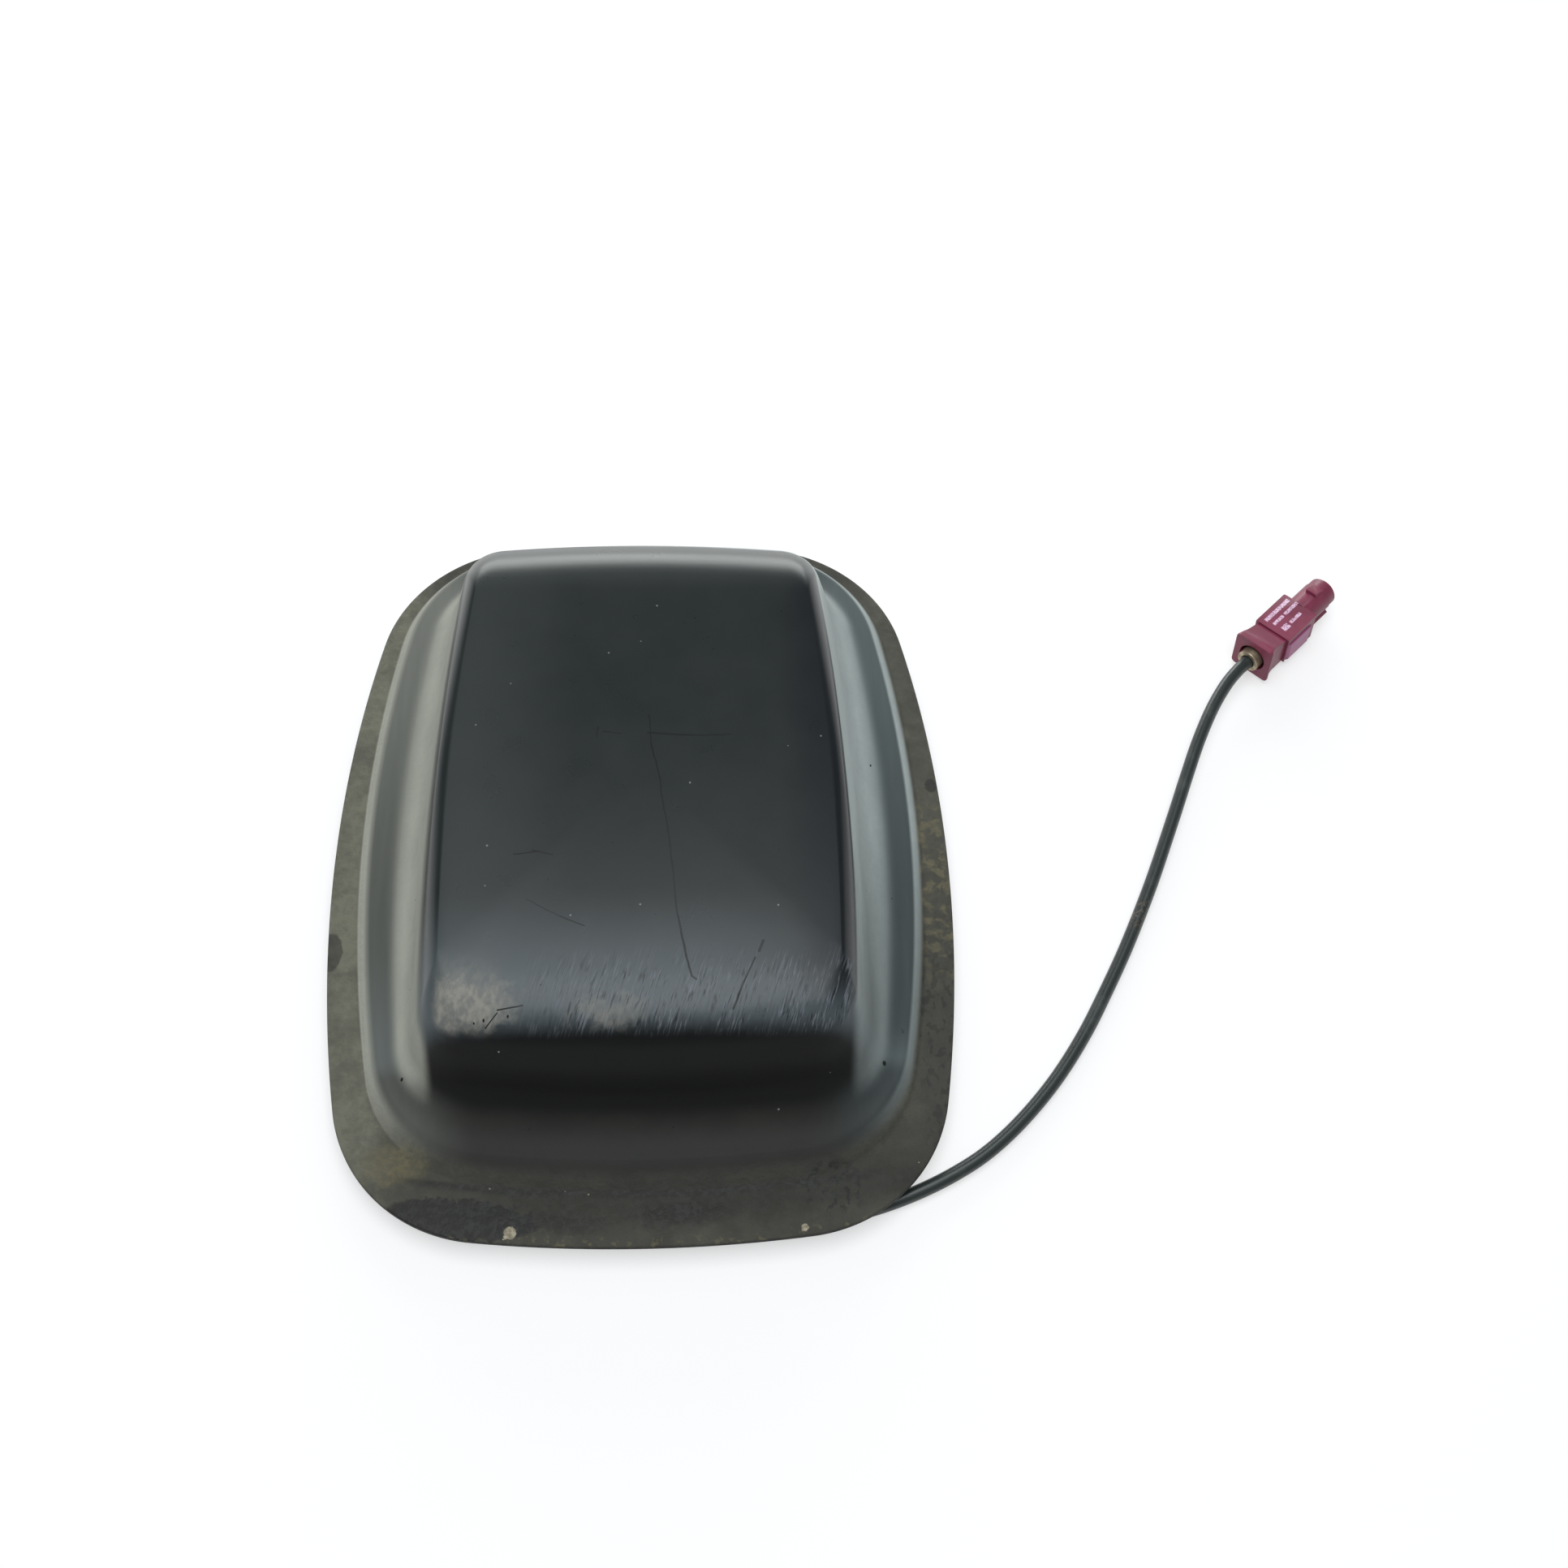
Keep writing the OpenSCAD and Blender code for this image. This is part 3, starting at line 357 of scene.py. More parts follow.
along_sheet = (1, 30, 1)
tin = metal("tinned_steel", (0.68, 0.68, 0.66), (0.5, 0.5, 0.48), 0.25, along_sheet)
zinc = metal("screw_steel", (0.6, 0.6, 0.56), (0.42, 0.42, 0.38), 0.25)
dress(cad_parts["ground_plate"], tin, 40)
dress(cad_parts["ground_screws"], zinc, 40)

# Radiator: folded brass sheet with a lanced feed tongue and a shorting leg, screwed to four
# turned plastic posts on the ground plate.


def moulded(name, tone, other_tone, rough, cloud_mm):
    """Plain moulded or turned plastic, faintly clouded and not quite smooth."""
    material, place = finish(name)
    lay(place, place.noise(cloud_mm, 3).over(tone, other_tone),
        place.noise(cloud_mm / 3, 2) * 0.12 + rough, place.noise(0.3, 2) * 0.006)
    return material


dress(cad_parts["radiator"],
      metal("radiator_brass", (0.72, 0.53, 0.24), (0.5, 0.34, 0.14), 0.25, along_sheet), 40)
dress(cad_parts["spacers"],
      moulded("spacer_plastic", (0.78, 0.76, 0.69), (0.7, 0.67, 0.58), 0.45, 5), 40)
dress(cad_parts["radiator_screws"], zinc, 40)

# Feed board: a small glass fibre board under the feed tongue, with a green solder mask through
# which the weave shows faintly. It carries a copper coil and two chips.
board, place = finish("board")
x, y, z = place.axes()
weave = (x * 5).math("SINE", x * 5) * (y * 5).math("SINE", y * 5)
lay(place, place.noise(3, 3).over((0.03, 0.15, 0.06), (0.045, 0.2, 0.08)),
    place.noise(1, 2) * 0.12 + 0.28, weave * 0.008)
dress(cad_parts["feed_board"], board, 40)
dress(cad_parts["board_parts"],
      metal("coil_copper", (0.62, 0.28, 0.14), (0.4, 0.16, 0.08), 0.2), 40)

# Lead inside the base: the same cable, stripped in steps to its tinned braid, its clear white
# insulation and its copper core. A tinned saddle with two screws holds the braid down.
dress(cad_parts["cable_lead_in"], jacket, 40)
braid, place = finish("braid")
x, y, z = place.axes()
one_way, other_way = (x + y) * 4, (x - y) * 4
crossing = one_way.math("SINE", one_way) * other_way.math("SINE", other_way)
lay(place, crossing.rise(-0.6, 0.6).over((0.3, 0.3, 0.28), (0.64, 0.64, 0.61)),
    place.noise(1, 2) * 0.15 + 0.3, crossing * 0.06, Metallic=1.0)
dress(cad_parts["cable_braid"], braid, 40)
dress(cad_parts["cable_insulation"],
      moulded("insulation", (0.84, 0.83, 0.78), (0.76, 0.74, 0.67), 0.45, 2), 40)
dress(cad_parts["cable_core"], metal("copper", (0.7, 0.36, 0.2), (0.45, 0.2, 0.1), 0.25), 40)
dress(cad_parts["cable_clamp"], tin, 40)
dress(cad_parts["small_screws"], zinc, 40)
dress(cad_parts["feed_solder"],
      metal("solder", (0.66, 0.66, 0.64), (0.5, 0.5, 0.48), 0.2), 40)

# Seals: a rubber outlet for the lead in the tray's spout, and a bead of black sealant between
# the tray's rim and the cover.
rubber, place = finish("grommet_rubber")
lay(place, place.noise(2, 3).over((0.014, 0.014, 0.015), (0.035, 0.034, 0.032)),
    place.noise(1, 2) * 0.15 + 0.55, place.noise(0.3, 2) * 0.01)
dress(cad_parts["cable_grommet"], rubber, 30)

sealant, place = finish("sealant")
lay(place, place.noise(3, 3).over((0.03, 0.03, 0.031), (0.055, 0.053, 0.05)),
    place.noise(2, 2) * 0.15 + 0.45, place.noise(1.2, 2) * 0.08)
dress(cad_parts["cover_gasket"], sealant, 30)

# Cover: one thin shell moulded in black plastic. Its hump has soft shoulders and drafted walls
# that sweep out in a hollow to a ledge, and a low step leads down to the thin flat flange. Each
# plan outline is a ring of tangent arcs, and the rings make one skin, outside and inside.
hump_w_mm, hump_l_mm, hump_z_mm, crown_mm = 91.2, 132, 36.6, 0.8
draft = math.radians(15)
shoulder_mm, brow_near_mm, brow_far_mm = 2.7, 13.8, 13
sweep_mm = {"side": 9.8, "near": 9.5, "far": 7.9}
ledge_mm, ledge_z_mm, ledge_fall_mm = 0.9, 9.2, 0.3
step_mm = {"side": 2.2, "near": 5.5, "far": 1.2}
flange_mm = {"side": 6.2, "near": 12, "far": 1.5}
flange_z_mm, flange_t_mm, wall_mm = 5, 1.6, 2
near_bow, far_bow = 325, 400
wall_run = (hump_z_mm - ledge_z_mm - ledge_fall_mm) * math.tan(draft)
near_reach = wall_run + sweep_mm["near"] + ledge_mm + step_mm["near"] + flange_mm["near"]
far_reach = wall_run + sweep_mm["far"] + ledge_mm + step_mm["far"] + flange_mm["far"]
body_l = hump_l_mm + near_reach + far_reach
hump_y = (near_reach - far_reach) / 2
arc_points = (40, 40, 70, 40, 40)


def inset(o, d):
    """The plan outline a distance further in, or further out where it is negative."""
    return [o[0] - d, o[1] + d, o[2] - d, o[3]] + [r - d for r in o[4:]]


def sweep_arc(centre, radius, start, end, count):
    """Points on an arc, without its last one."""
    turns = start + (end - start) * np.arange(count) / count
    return [centre + radius * np.array([math.cos(a), math.sin(a)]) for a in turns]


def corner_centre(side, side_r, end, end_r, r):
    """Middle of the corner arc that touches a side arc and an end arc from within."""
    gap = np.linalg.norm(end - side)
    along = ((side_r - r) ** 2 - (end_r - r) ** 2 + gap * gap) / (2 * gap)
    off = math.sqrt((side_r - r) ** 2 - along * along)
    u = (end - side) / gap
    both = [side + along * u + s * off * np.array([-u[1], u[0]]) for s in (-1, 1)]
    return max(both, key=lambda c: c[0])


def turn(v):
    return math.atan2(v[1], v[0])


def outline(o, z):
    """Ring of points on a plan outline: [half width, near y, far y, y of the widest point,
    side radius, near radius, far radius, near corner radius, far corner radius]."""
    side = np.array([o[0] - o[4], o[3]])
    near, far = np.array([0, o[1] + o[5]]), np.array([0, o[2] - o[6]])
    first = corner_centre(side, o[4], near, o[5], o[7])
    last = corner_centre(side, o[4], far, o[6], o[8])
    arcs = [(near, o[5], -math.pi / 2, turn(first - near)),
            (first, o[7], turn(first - near), turn(first - side)),
            (side, o[4], turn(first - side), turn(last - side)),
            (last, o[8], turn(last - side), turn(last - far)),
            (far, o[6], turn(last - far), math.pi / 2)]
    half = [p for arc, n in zip(arcs, arc_points) for p in sweep_arc(*arc, n)]
    half.append(np.array([0, o[2]]))
    whole = half + [p * (-1, 1) for p in half[-2:0:-1]]
    return np.array([(*p, z) for p in whole])


def conic(a, c, b, count):
    """Rings between a and b on arcs whose tangents meet at c."""
    weight = math.cos(math.pi / 4 - draft / 2)
    rings = []
    for t in np.arange(1, count) / count:
        s = 1 - t
        rings.append((s * s * a + 2 * weight * s * t * c + t * t * b)
                     / (s * s + 2 * weight * s * t + t * t))
    return rings


def as_far(a, b, c):
    """The point on each line from a to b that is as far from a as c is."""
    reach = np.linalg.norm(c - a, axis=1) / np.linalg.norm(b - a, axis=1)
    return a + (b - a) * reach[:, None]


edge_o = [hump_w_mm / 2, hump_y - hump_l_mm / 2, hump_y + hump_l_mm / 2, -18, 720,
          near_bow, far_bow, 9, 9]
top_o = [edge_o[0] - shoulder_mm, edge_o[1] + brow_near_mm, edge_o[2] - brow_far_mm, -18, 720,
         near_bow, far_bow, 4.5, 4.5]
foot_o = inset(edge_o, -wall_run)
ledge_o = [foot_o[0] + sweep_mm["side"] + ledge_mm, foot_o[1] - sweep_mm["near"] - ledge_mm,
           foot_o[2] + sweep_mm["far"] + ledge_mm, 2, 315, near_bow, far_bow, 28, 33]
step_o = [ledge_o[0] + step_mm["side"], ledge_o[1] - step_mm["near"],
          ledge_o[2] + step_mm["far"], 2, 315 + step_mm["side"], near_bow, far_bow,
          28 + step_mm["side"], 33 + step_mm["side"]]
flange_o = [step_o[0] + flange_mm["side"], -body_l / 2, body_l / 2, -7, 325, near_bow, far_bow,
            35.5, 38]


def crown(t, shares):
    """Rings on the slightly domed top at depth t, at those shares of the way to its edge."""
    top = outline(top_o, hump_z_mm - t)
    middle = np.array([0, hump_y, hump_z_mm - t])
    return [middle + (top - middle) * s + (0, 0, crown_mm * (1 - s * s)) for s in shares]


def hump(t, count):
    """Rings of the skin at depth t, from the top of the hump to the ledge."""
    lean = t * (1 / math.cos(draft) - math.tan(draft))
    low_z = ledge_z_mm + ledge_fall_mm - t
    top = outline(top_o, hump_z_mm - t)
    edge = outline(inset(edge_o, lean), hump_z_mm - t)
    foot = outline(inset(foot_o, lean), low_z)
    end = outline(inset(ledge_o, ledge_mm), low_z)
    high, low = as_far(edge, foot, top), as_far(foot, edge, end)
    wall = [high + (low - high) * s for s in (0, 0.25, 0.5, 0.75, 1)]
    return [top] + conic(top, edge, high, count) + wall + conic(low, foot, end, count) + [end]


flange_top = flange_z_mm + flange_t_mm
ledge_in = outline(inset(ledge_o, 0.5), ledge_z_mm + ledge_fall_mm * 0.4)
ledge_edge, step_foot = outline(ledge_o, ledge_z_mm), outline(step_o, flange_top)
ledge_out = ledge_edge + (step_foot - ledge_edge) * 0.2
foot_in = ledge_edge + (step_foot - ledge_edge) * 0.85
edge_r, box_gap = 0.4, 0.02
flange_in = outline(inset(flange_o, edge_r + box_gap), flange_top)
flat = flange_in - step_foot
foot_out = step_foot + flat * np.minimum(0.8 / np.linalg.norm(flat, axis=1), 0.5)[:, None]
rim = [(edge_r * (1 - math.sin(a)) + box_gap, edge_r * (1 - math.cos(a)))
       for a in np.radians([0, 22, 45, 68, 90])]
outside = (crown(0, (0.1, 0.25, 0.4, 0.55, 0.7, 0.85, 0.95)) + hump(0, 14) + [ledge_in]
           + conic(ledge_in, ledge_edge, ledge_out, 4) + [ledge_out, foot_in]
           + conic(foot_in, step_foot, foot_out, 4)
           + [foot_out, foot_out + (flange_in - foot_out) * 0.5]
           + [outline(inset(flange_o, i), flange_top - h) for i, h in rim]
           + [outline(inset(flange_o, i), flange_z_mm + h) for i, h in rim[::-1]])
inside = (crown(wall_mm, (0.4, 0.8)) + hump(wall_mm, 6)
          + [outline(inset(ledge_o, wall_mm * 0.8), ledge_z_mm - wall_mm),
             outline(inset(step_o, wall_mm), flange_z_mm)])
rings = outside + inside[::-1]
around = len(rings[0])
points = [np.array([[0, hump_y, hump_z_mm + crown_mm]])] + rings + [
    np.array([[0, hump_y, hump_z_mm + crown_mm - wall_mm]])]
faces = [(0, 1 + i, 1 + (i + 1) % around) for i in range(around)]
for ring in range(len(rings) - 1):
    a = 1 + ring * around
    faces += [(a + i, a + around + i, a + around + (i + 1) % around, a + (i + 1) % around)
              for i in range(around)]
last = 1 + (len(rings) - 1) * around
faces += [(last + i, last + around, last + (i + 1) % around) for i in range(around)]
shell = bpy.data.meshes.new("cover_shell")
shell.from_pydata((np.concatenate(points) * MM).tolist(), [], faces)
shell.shade_smooth()
cover = new_piece("cover_shell", shell)
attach(cover, "root")
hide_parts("cover")

cover_plastic, place = finish("cover_plastic")
x, y, z = place.axes()
abs_x = x.math("ABSOLUTE", x)
on_right = x.rise(-30, 30)
facing = place.node("ShaderNodeTexCoord", out="Normal").axes()
aside = facing[0].math("ABSOLUTE", facing[0]).most(facing[1] * 0.9)


def stroke(line_x, line_y, start, end, width, core=0.4):
    """A thin straight mark between two places in plan."""
    run = Vector(end) - Vector(start)
    share = ((line_x - start[0]) * run.x + (line_y - start[1]) * run.y) / run.length_squared
    share = share.most(0).least(1)
    across = line_x - start[0] - share * run.x
    along = line_y - start[1] - share * run.y
    return (across * across + along * along).rise(width * width, (width * core) ** 2)


def spot(line_x, line_y, at, half_width, half_length, inner=0.35):
    """1 inside an oval in plan, falling off towards its outline."""
    across, along = (line_x - at[0]) / half_width, (line_y - at[1]) / half_length
    return (across * across + along * along).rise(1, inner)


# Scratches and dents on the top, where something hard was dragged over it.
wander = (place.noise(6, 2) - 0.5) * 0.9
mark_x, mark_y = x + wander, y + wander
long_scratch = [((1.8, 20.8), (2.2, 13), 0.15), ((2.2, 13), (4.0, 3.6), 0.24),
                ((4.0, 3.6), (6.4, -12.9), 0.2), ((6.4, -12.9), (7.9, -30.6), 0.24),
                ((7.9, -30.6), (10.7, -44.4), 0.3), ((10.7, -44.4), (11.6, -45.2), 0.3)]
cross_scratches = [((1.5, 15.8), (12, 15.2), 0.26), ((12, 15.2), (20.1, 15.3), 0.15),
                   ((-8.6, 16.3), (-4.6, 15.7), 0.14), ((-9.7, 17.6), (-10, 14.8), 0.14)]
left_scratches = [((-27.5, -14.9), (-22, -14.4), 0.2), ((-23.5, -14.1), (-19, -15.2), 0.2),
                  ((-24.5, -26), (-17, -30.2), 0.13), ((-17, -30.2), (-11.9, -32.3), 0.22)]
near_scratches = [((26, -36.4), (25.1, -38.8), 0.38), ((24.2, -40.3), (21.8, -45.6), 0.26),
                  ((21.8, -45.6), (19.6, -51), 0.3), ((-29.7, -50.6), (-24.7, -50.1), 0.2),
                  ((-32.2, -53.7), (-29.7, -51.1), 0.16)]
scratch = 0
for start_at, end_at, width in long_scratch + cross_scratches + left_scratches + near_scratches:
    scratch = stroke(mark_x, mark_y, start_at, end_at, width) + scratch
scratch = scratch.least(1) * z.rise(20, 25)
dents = [((-27.6, -51.9), 0.35), ((-32.6, -52.4), 0.4), ((-34.8, -53), 0.3), ((53.2, -53.9), 0.7),
         ((57.8, -46.2), 0.5), ((54.4, 22.2), 0.4), ((-52.2, -56), 0.5)]
dots = place.specks(3.4, 0.07, 0.16) * y.rise(8, -20)
for at, size in dents:
    dots = spot(mark_x, mark_y, at, size * 0.7, size, 0.3) + dots
dots = dots.least(1) * z.rise(9.4, 9.8)
chips = place.specks(3.7, 0.075, 0.12) * z.rise(9.8, 12)

# Brow: fine, nearly upright streaks and rubbed brown-grey patches on the hump's near edge.
brow = y.rise(-36, -46) * y.rise(-56.5, -53) * z.rise(30, 32)
slanted = place.node("ShaderNodeVectorRotate", {"rotation_type": "Z_AXIS"},
                     {"Vector": place, "Angle": math.radians(18)})
streaky = place.noise(5, 3).rise(0.3, 0.6) * x.rise(-30, -12) * brow
light_streak = slanted.noise(0.4, 2, (1, 14, 10)).rise(0.5, 0.64) * streaky
dark_streak = slanted.noise(0.45, 2, (1, 10, 8), 0.1).rise(0.53, 0.64) * streaky
ragged = (place.noise(2.2, 4) - 0.5) * 2
middling = place.noise(4, 3, (1, 1, 1), 0.3).rise(0.34, 0.66)
patch_x, patch_y = x + ragged * 3, y + middling * 3 - 1.5
rubbed = (spot(patch_x, patch_y, (-37, -49.5), 14, 6.5, 0)
          + spot(x, patch_y, (-38, -43), 10, 11, 0) * 0.35
          + spot(patch_x, patch_y, (-7, -51.3), 10, 3.6, 0) * 0.5).least(1)
rubbed = rubbed * brow * x.rise(-44.5, -41.5)
crumb = slanted.noise(1.3, 4, (1, 1.8, 1.5)).rise(0.3, 0.7)

# Painted sheen: the steep sides, the rim of the step and the far shoulder are painted pale where
# they face sideways or away, for the grazing sheen of the plastic; it fades where the walls turn
# towards the near end. Dust with painted sheen lies on the ledge beside them.
near_corner = 1 - y.rise(-44, -52) * abs_x.rise(47.5, 44.5)
left_wall = z.rise(33.3, 22) * (1 - on_right)
right_wall = z.rise(32.7, 30.8) * (z.rise(12, 30) * 0.36 + 0.84) * on_right
wall_sheen = aside.rise(0.22, 0.76) * near_corner * y.rise(-68, -54) * z.rise(9.5, 11.5) \
    * (left_wall + right_wall)
left_step = z.rise(9.8, 8.2) * z.rise(6.6, 6.9) * (1 - on_right)
right_step = z.rise(6.7, 8.5) * z.rise(9.55, 9.1) * on_right * 0.8
step_sheen = (left_step + right_step) * aside.rise(0.12, 0.45) * y.rise(-80, -45)
combed = place.noise(1.3, 3, (1, 16, 1)) * 0.3 + 0.85
painted_sheen = (wall_sheen + step_sheen) * (1 - on_right * y.rise(25, -65) * 0.6)
painted_sheen = painted_sheen * (place.noise(12, 4, (1, 1, 0.4)) * 0.35 + 0.8) * (place.noise(1.5, 3) * 0.16 + 0.9)
sheen_tone = on_right.over((0.35, 0.355, 0.305), (0.38, 0.425, 0.415))
# Dust and painted sheen on the hollow and ledge beside the sides: paler towards the far end, and
# bluish on the right.
ledge_dust_and_sheen = abs_x.rise(34, 52) * z.rise(16, 11) * (y.rise(-20, 70) * 0.5 + 0.5) * combed \
    * (1 - on_right * y.rise(-54, -78) * 0.7)
ledge_dust_and_sheen_tone = on_right.over((0.13, 0.135, 0.12), (0.072, 0.09, 0.09))
# Painted sheen: a pale band on the far shoulder where it turns away, for the far lamp and the
# pale horizon mirrored there.
far_shoulder_sheen = (facing[1].rise(0, 0.4) + y.rise(56, 63) * 0.14).least(1) * z.rise(31, 34)
# Painted reflection: the left edge of the top is made paler, for the overhead lamp mirrored
# there.
left_top_reflection = x.rise(-12, -41) * facing[0].rise(-0.3, -0.04) * z.rise(35, 36)
near_skirt = z.rise(15, 11.5) * y.rise(-60, -66)

# Road dirt on the flange: thick on the left and thinner elsewhere; the far right of the flange is
# painted paler for the far lamp's sheen. The near edge of the cover is bowed, and near_y follows
# that bow.
low_part = z.rise(9.3, 7.4)
near_y = y - x * x / (2 * near_bow)
left_side, near_side = x.rise(-50, -62), y.rise(-66, -80)
# Painted sheen: the far right of the flange is made paler, for the far lamp's sheen on it.
right_far_sheen = x.rise(50, 62) * y.rise(-25, 10)
cloud = place.noise(13, 3).rise(0.3, 0.68)
fine = place.noise(1.2, 2).rise(0.35, 0.68)
grit = place.noise(0.9, 2) - 0.5
blotch = place.noise(2.1, 3, (0.8, 1.2, 1)).rise(0.52, 0.6)
edge_dust = near_y.rise(-84, -92) * 0.2 + y.rise(-78, -70) * 0.1 \
    + x.rise(-20, -52) * near_side * 0.16
dust_and_sheen = left_side * (1 - near_side * 0.45) * 0.72 + edge_dust + right_far_sheen * 0.16
dust_and_sheen = (dust_and_sheen - near_side * 0.06 + 0.25).least(1) \
    * (cloud * 0.3 + 0.7) * (middling * 0.26 + 0.86) * (fine * 0.22 + 0.88)

# Ragged patches where the dirt is washed off, a painted shadow line in the crease at the foot of
# the near step, rust specks on the left corner and the right side, and lumps of grit.
bowed = near_y + ragged * 3
big_stain = spot(x + ragged * 4, near_y + ragged * 2 + grit, (-38, -88.4), 17, 4.6, 0.75)
faint_stains = spot(x + ragged * 6, bowed, (-16, -87.6), 12, 3.4, 0) * 0.7 \
    + spot(x + ragged * 6, bowed, (8, -86), 14, 3.6, 0) * 0.75
left_stain = spot(x + ragged * 0.7, y + ragged * 0.7, (-71, -23.2), 2.9, 5.2, 0.75) * 0.7
right_stain = spot(x + grit, y + grit, (69.3, 19.7), 1.7, 2.2, 0.5) * 0.8
splashes = spot(x, y, (41, -80.5), 9, 7, 0.2) * blotch
# Painted shadow in the crease at the foot of the near step.
step_crease_shade = near_y.rise(-80.1, -81.2) * near_y.rise(-83, -81.4) * abs_x.rise(56, 46) \
    * (middling * 0.5 + 0.5)
right_wash = x.rise(60, 64) * y.rise(0, -40) * y.rise(-78, -68) * (blotch * 0.5 + cloud * 0.35)
wet_and_crease_shade = (big_stain + faint_stains + left_stain + right_stain + splashes + step_crease_shade
       + right_wash).least(1)
rusty = spot(x + ragged * 4, y + ragged * 4, (-53, -74), 9, 6, 0) \
    + x.rise(62, 66) * y.rise(22, 5) * y.rise(-40, -20) * place.noise(3.2, 3).rise(0.46, 0.6) \
    + near_y.rise(-90.2, -91.6) * place.noise(1.6, 4).rise(0.56, 0.64) * 0.8
rusty = rusty.least(1) * (fine * 0.5 + 0.5)
lumps = spot(x + grit * 2, y + grit * 2, (-28, -89.4), 1.5, 1.5, 0.6) \
    + spot(x + grit, y + grit, (34.4, -89.3), 0.9, 0.9, 0.5) \
    + place.specks(2.3, 0.12, 0.2) * near_y.rise(-80.6, -81.2) * near_y.rise(-82.4, -81.6)
lumps = lumps.least(1) * low_part

# The colours from the bare plastic up, first of the hump and then of the flange.
skin = place.noise(30, 3).rise(0.3, 0.7).over((0.0095, 0.0135, 0.0135), (0.0125, 0.0165, 0.0165))
# Painted reflection: the near part of the top grows paler and bluer towards the brow, for the
# overhead lamp mirrored in it, less so at its right end.
near_reflection = y.rise(-22, -50) * (1 - x.rise(8, 60) * y.rise(-52, -40))
skirt_film = near_skirt * (place.noise(9, 4).rise(0.3, 0.7) * 0.35 + 0.6)
# Painted reflection on the left edge of the top.
skin = (left_top_reflection * 0.65).over(skin, (0.036, 0.041, 0.041))
# Painted reflection of the overhead lamp on the near part of the top.
skin = near_reflection.over(skin, (0.066, 0.081, 0.087))
# Painted shade: the right end of the near brow is darkened, for a dark reflection there.
skin = (x.rise(30, 41) * y.rise(-54, -42) * 0.8).over(skin, (0.004, 0.006, 0.0085))
# Painted sheen on the far shoulder.
skin = far_shoulder_sheen.over(skin, (0.115, 0.122, 0.116))
# Painted shade: the near wall below the brow is made nearly black, for the dark room it mirrors.
skin = (y + ragged * 0.5).rise(-51.6, -56.2).over(skin, (0.003, 0.0032, 0.0033))
skin = skirt_film.over(skin, (0.0185, 0.0175, 0.015))
skin = (light_streak * 0.7).over(skin, (0.165, 0.18, 0.205))
skin = (rubbed * (crumb * 0.5 + 0.45)).over(skin, (0.27, 0.258, 0.225))
skin = (dark_streak * 0.85).over(skin, (0.007, 0.008, 0.011))
skin = scratch.most(dots).over(skin, (0.003, 0.0035, 0.004))
skin = (chips * 0.7).over(skin, (0.25, 0.25, 0.25))
flange_colour = dust_and_sheen.over((0.012, 0.012, 0.0105), (0.142, 0.139, 0.105))
flange_colour = (rusty * 0.7).over(flange_colour, (0.145, 0.126, 0.07))
# Washed-off patches darken the flange, and so does the painted shadow at the near step's foot.
flange_colour = (wet_and_crease_shade * 0.9).over(flange_colour, (0.012, 0.0125, 0.011))
flange_colour = lumps.over(flange_colour, fine.over((0.2, 0.17, 0.11), (0.42, 0.38, 0.29)))
flange_colour = z.rise(6.5, 6.2).over(flange_colour, (0.01, 0.012, 0.01))
base = low_part.over(ledge_dust_and_sheen.over(skin, ledge_dust_and_sheen_tone), flange_colour)
# Painted sheen on the steep sides and the rim of the step.
base = painted_sheen.over(base, sheen_tone)
base = dots.over(base, (0.004, 0.004, 0.004))
worn = (light_streak + rubbed).least(1)
hump_rough = place.noise(9, 4) * 0.1 + 0.24 + worn * 0.25 + z.rise(33, 28) * 0.32
flange_rough = fine * 0.12 + 0.62 - wet_and_crease_shade * 0.12
rough = hump_rough * (1 - low_part) + flange_rough * low_part
relief = place.noise(0.3, 1) * 0.003 + place.noise(2.2, 2) * 0.008 \
    + low_part * (fine * 0.05 + middling * 0.05)
lay(place, base, rough, relief, **{"Specular IOR Level": 0.28})
shell.materials.append(cover_plastic)

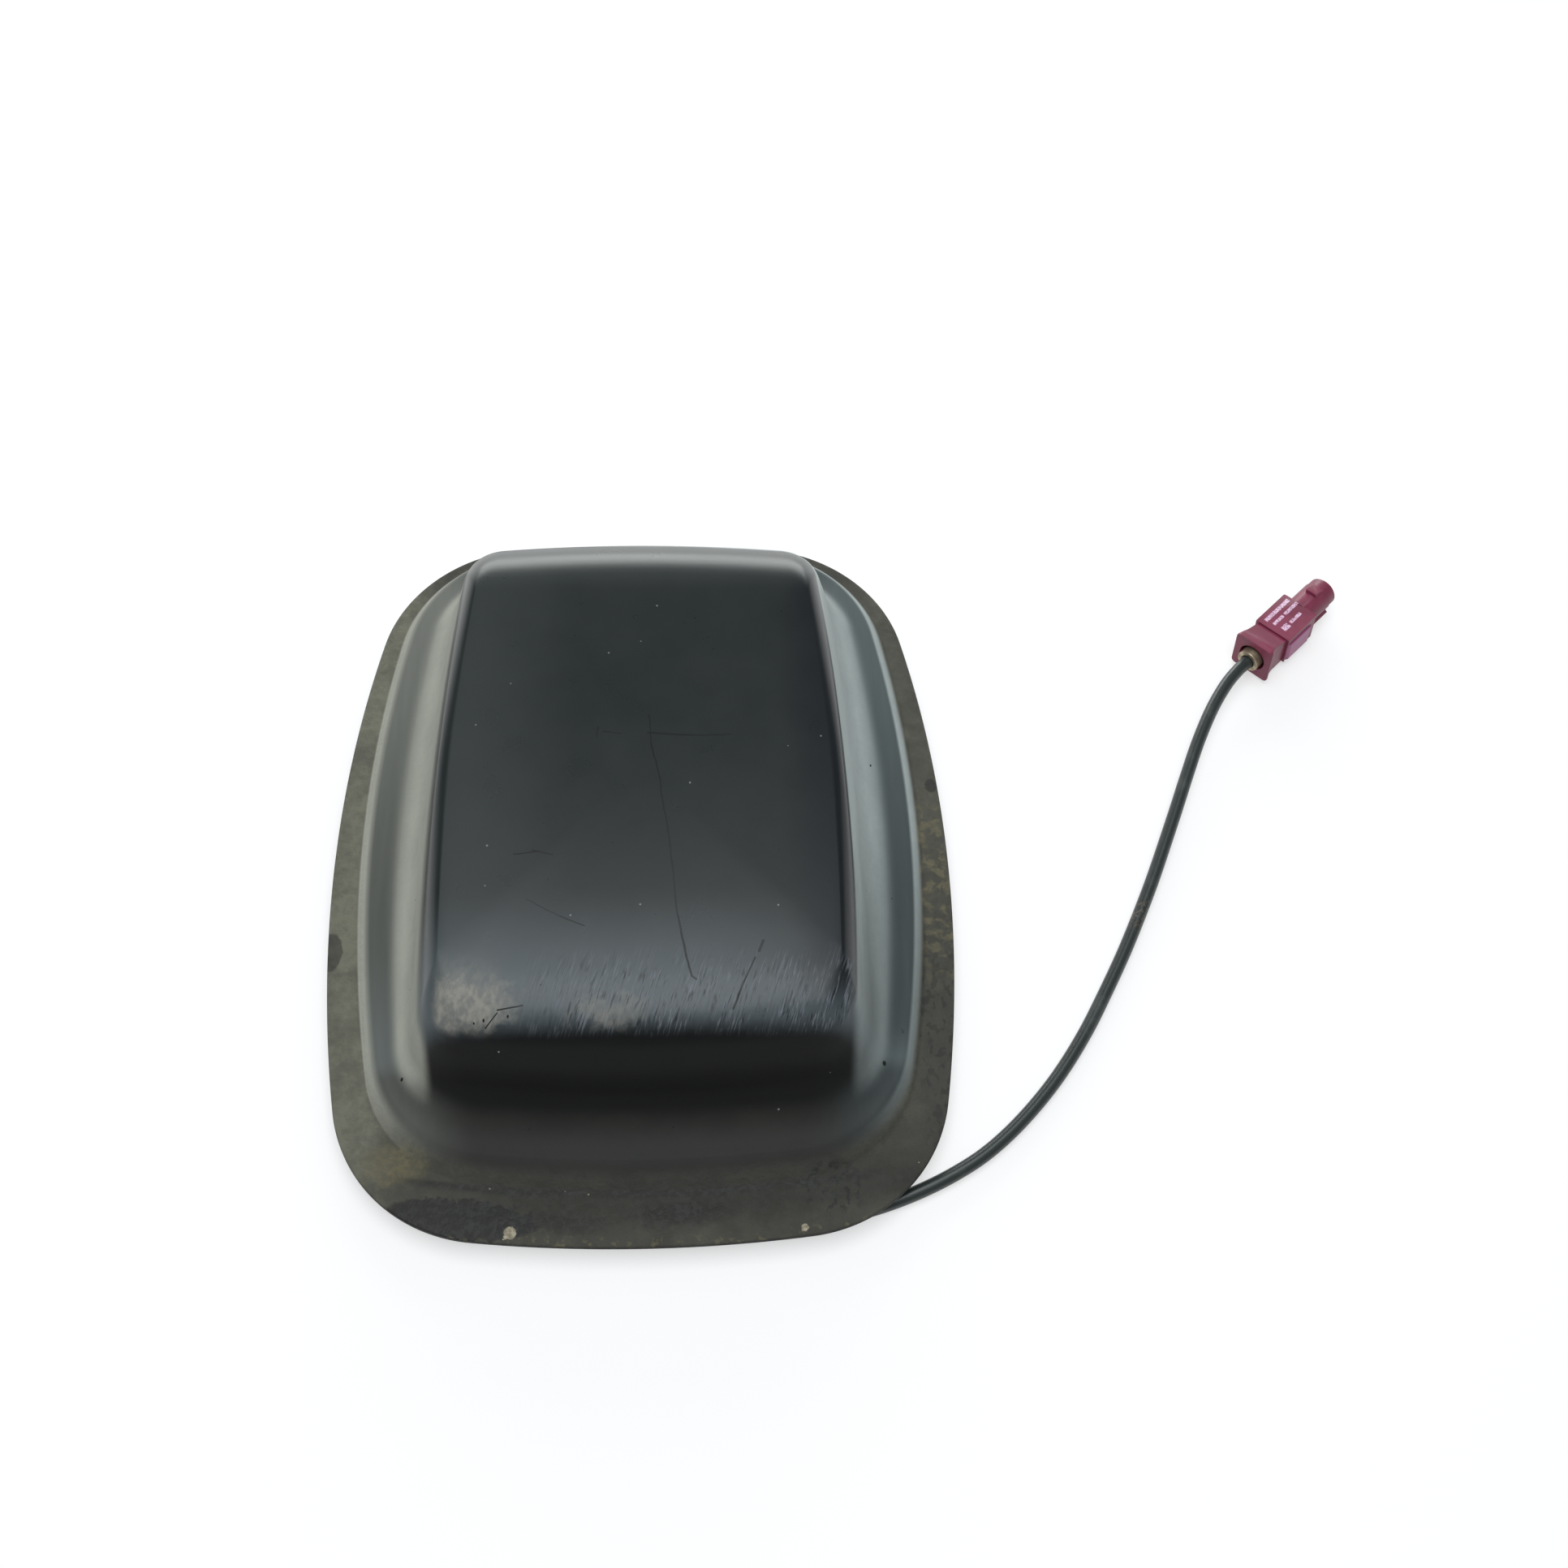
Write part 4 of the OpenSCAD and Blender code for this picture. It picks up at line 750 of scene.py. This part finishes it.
# Table and light: a white table that keeps the shadows, one wide soft lamp overhead, a softer
# one low down beyond the table, and a room that is pale at its floor and dim higher up.
table_top = bpy.data.meshes.new("table")
reach = 3.0
table_top.from_pydata([(-reach, -reach, 0), (reach, -reach, 0), (reach, reach, 0),
                       (-reach, reach, 0)], [], [(0, 1, 2, 3)])
table = new_piece("table", table_top)
white_top, place = finish("table_white")
path = place.node("ShaderNodeLightPath").socket.node.outputs
seen = (Tap(place.tree, path["Is Camera Ray"]) + Tap(place.tree, path["Is Glossy Ray"])
        + Tap(place.tree, path["Is Transmission Ray"])).least(1)
matt = place.node("ShaderNodeBsdfDiffuse", (), {"Color": (0.9, 0.9, 0.9, 1)})
glow = place.node("ShaderNodeEmission", (), {"Color": (1, 1, 1, 1), "Strength": 1.1})
mixed = place.node("ShaderNodeMixShader", (), {0: seen * 0.5, 1: matt, 2: glow})
place.node("ShaderNodeOutputMaterial", (), {"Surface": mixed})
table.data.materials.append(white_top)

room = bpy.data.worlds.new("room")
bpy.context.scene.world = room
room.use_nodes = True
room.node_tree.nodes.clear()
air = Tap(room.node_tree, None)
away, up = air.node("ShaderNodeTexCoord", out="Generated").axes()[1:]
walls = away.rise(0, -0.5).over((1, 1, 1), (0.3, 0.3, 0.3))
lit = up.rise(0.05, 0.35).over(walls, (0.26, 0.27, 0.28))
seen = Tap(air.tree, air.node("ShaderNodeLightPath").socket.node.outputs["Is Camera Ray"])
back = air.node("ShaderNodeBackground", (), {"Color": seen.over(lit, (1, 1, 1)), "Strength": 1.0})
air.node("ShaderNodeOutputWorld", (), {"Surface": back})


def soft_lamp(name, at, towards, size, radiance, tone):
    """A rectangular lamp that faces a point. It looks equally bright wherever it is seen."""
    lamp = new_piece(name, bpy.data.lights.new(name, "AREA"))
    lamp.data.shape = "RECTANGLE"
    lamp.data.size, lamp.data.size_y = size
    lamp.data.energy = radiance * math.pi * size[0] * size[1]
    lamp.data.color = tone
    lamp.location = at
    lamp.rotation_euler = (Vector(towards) - Vector(at)).to_track_quat("-Z", "Y").to_euler()
    lamp.visible_camera = False


soft_lamp("overhead_lamp", (0, -0.06, 0.95), (0, -0.06, 0), (0.64, 0.96), 3.8, (0.96, 1, 1.02))
soft_lamp("far_lamp", (0, 1.25, 0.4), (0, 0, 0), (1.1, 0.55), 5.0, (0.97, 1, 0.99))
bpy.context.scene.view_settings.view_transform = "Standard"
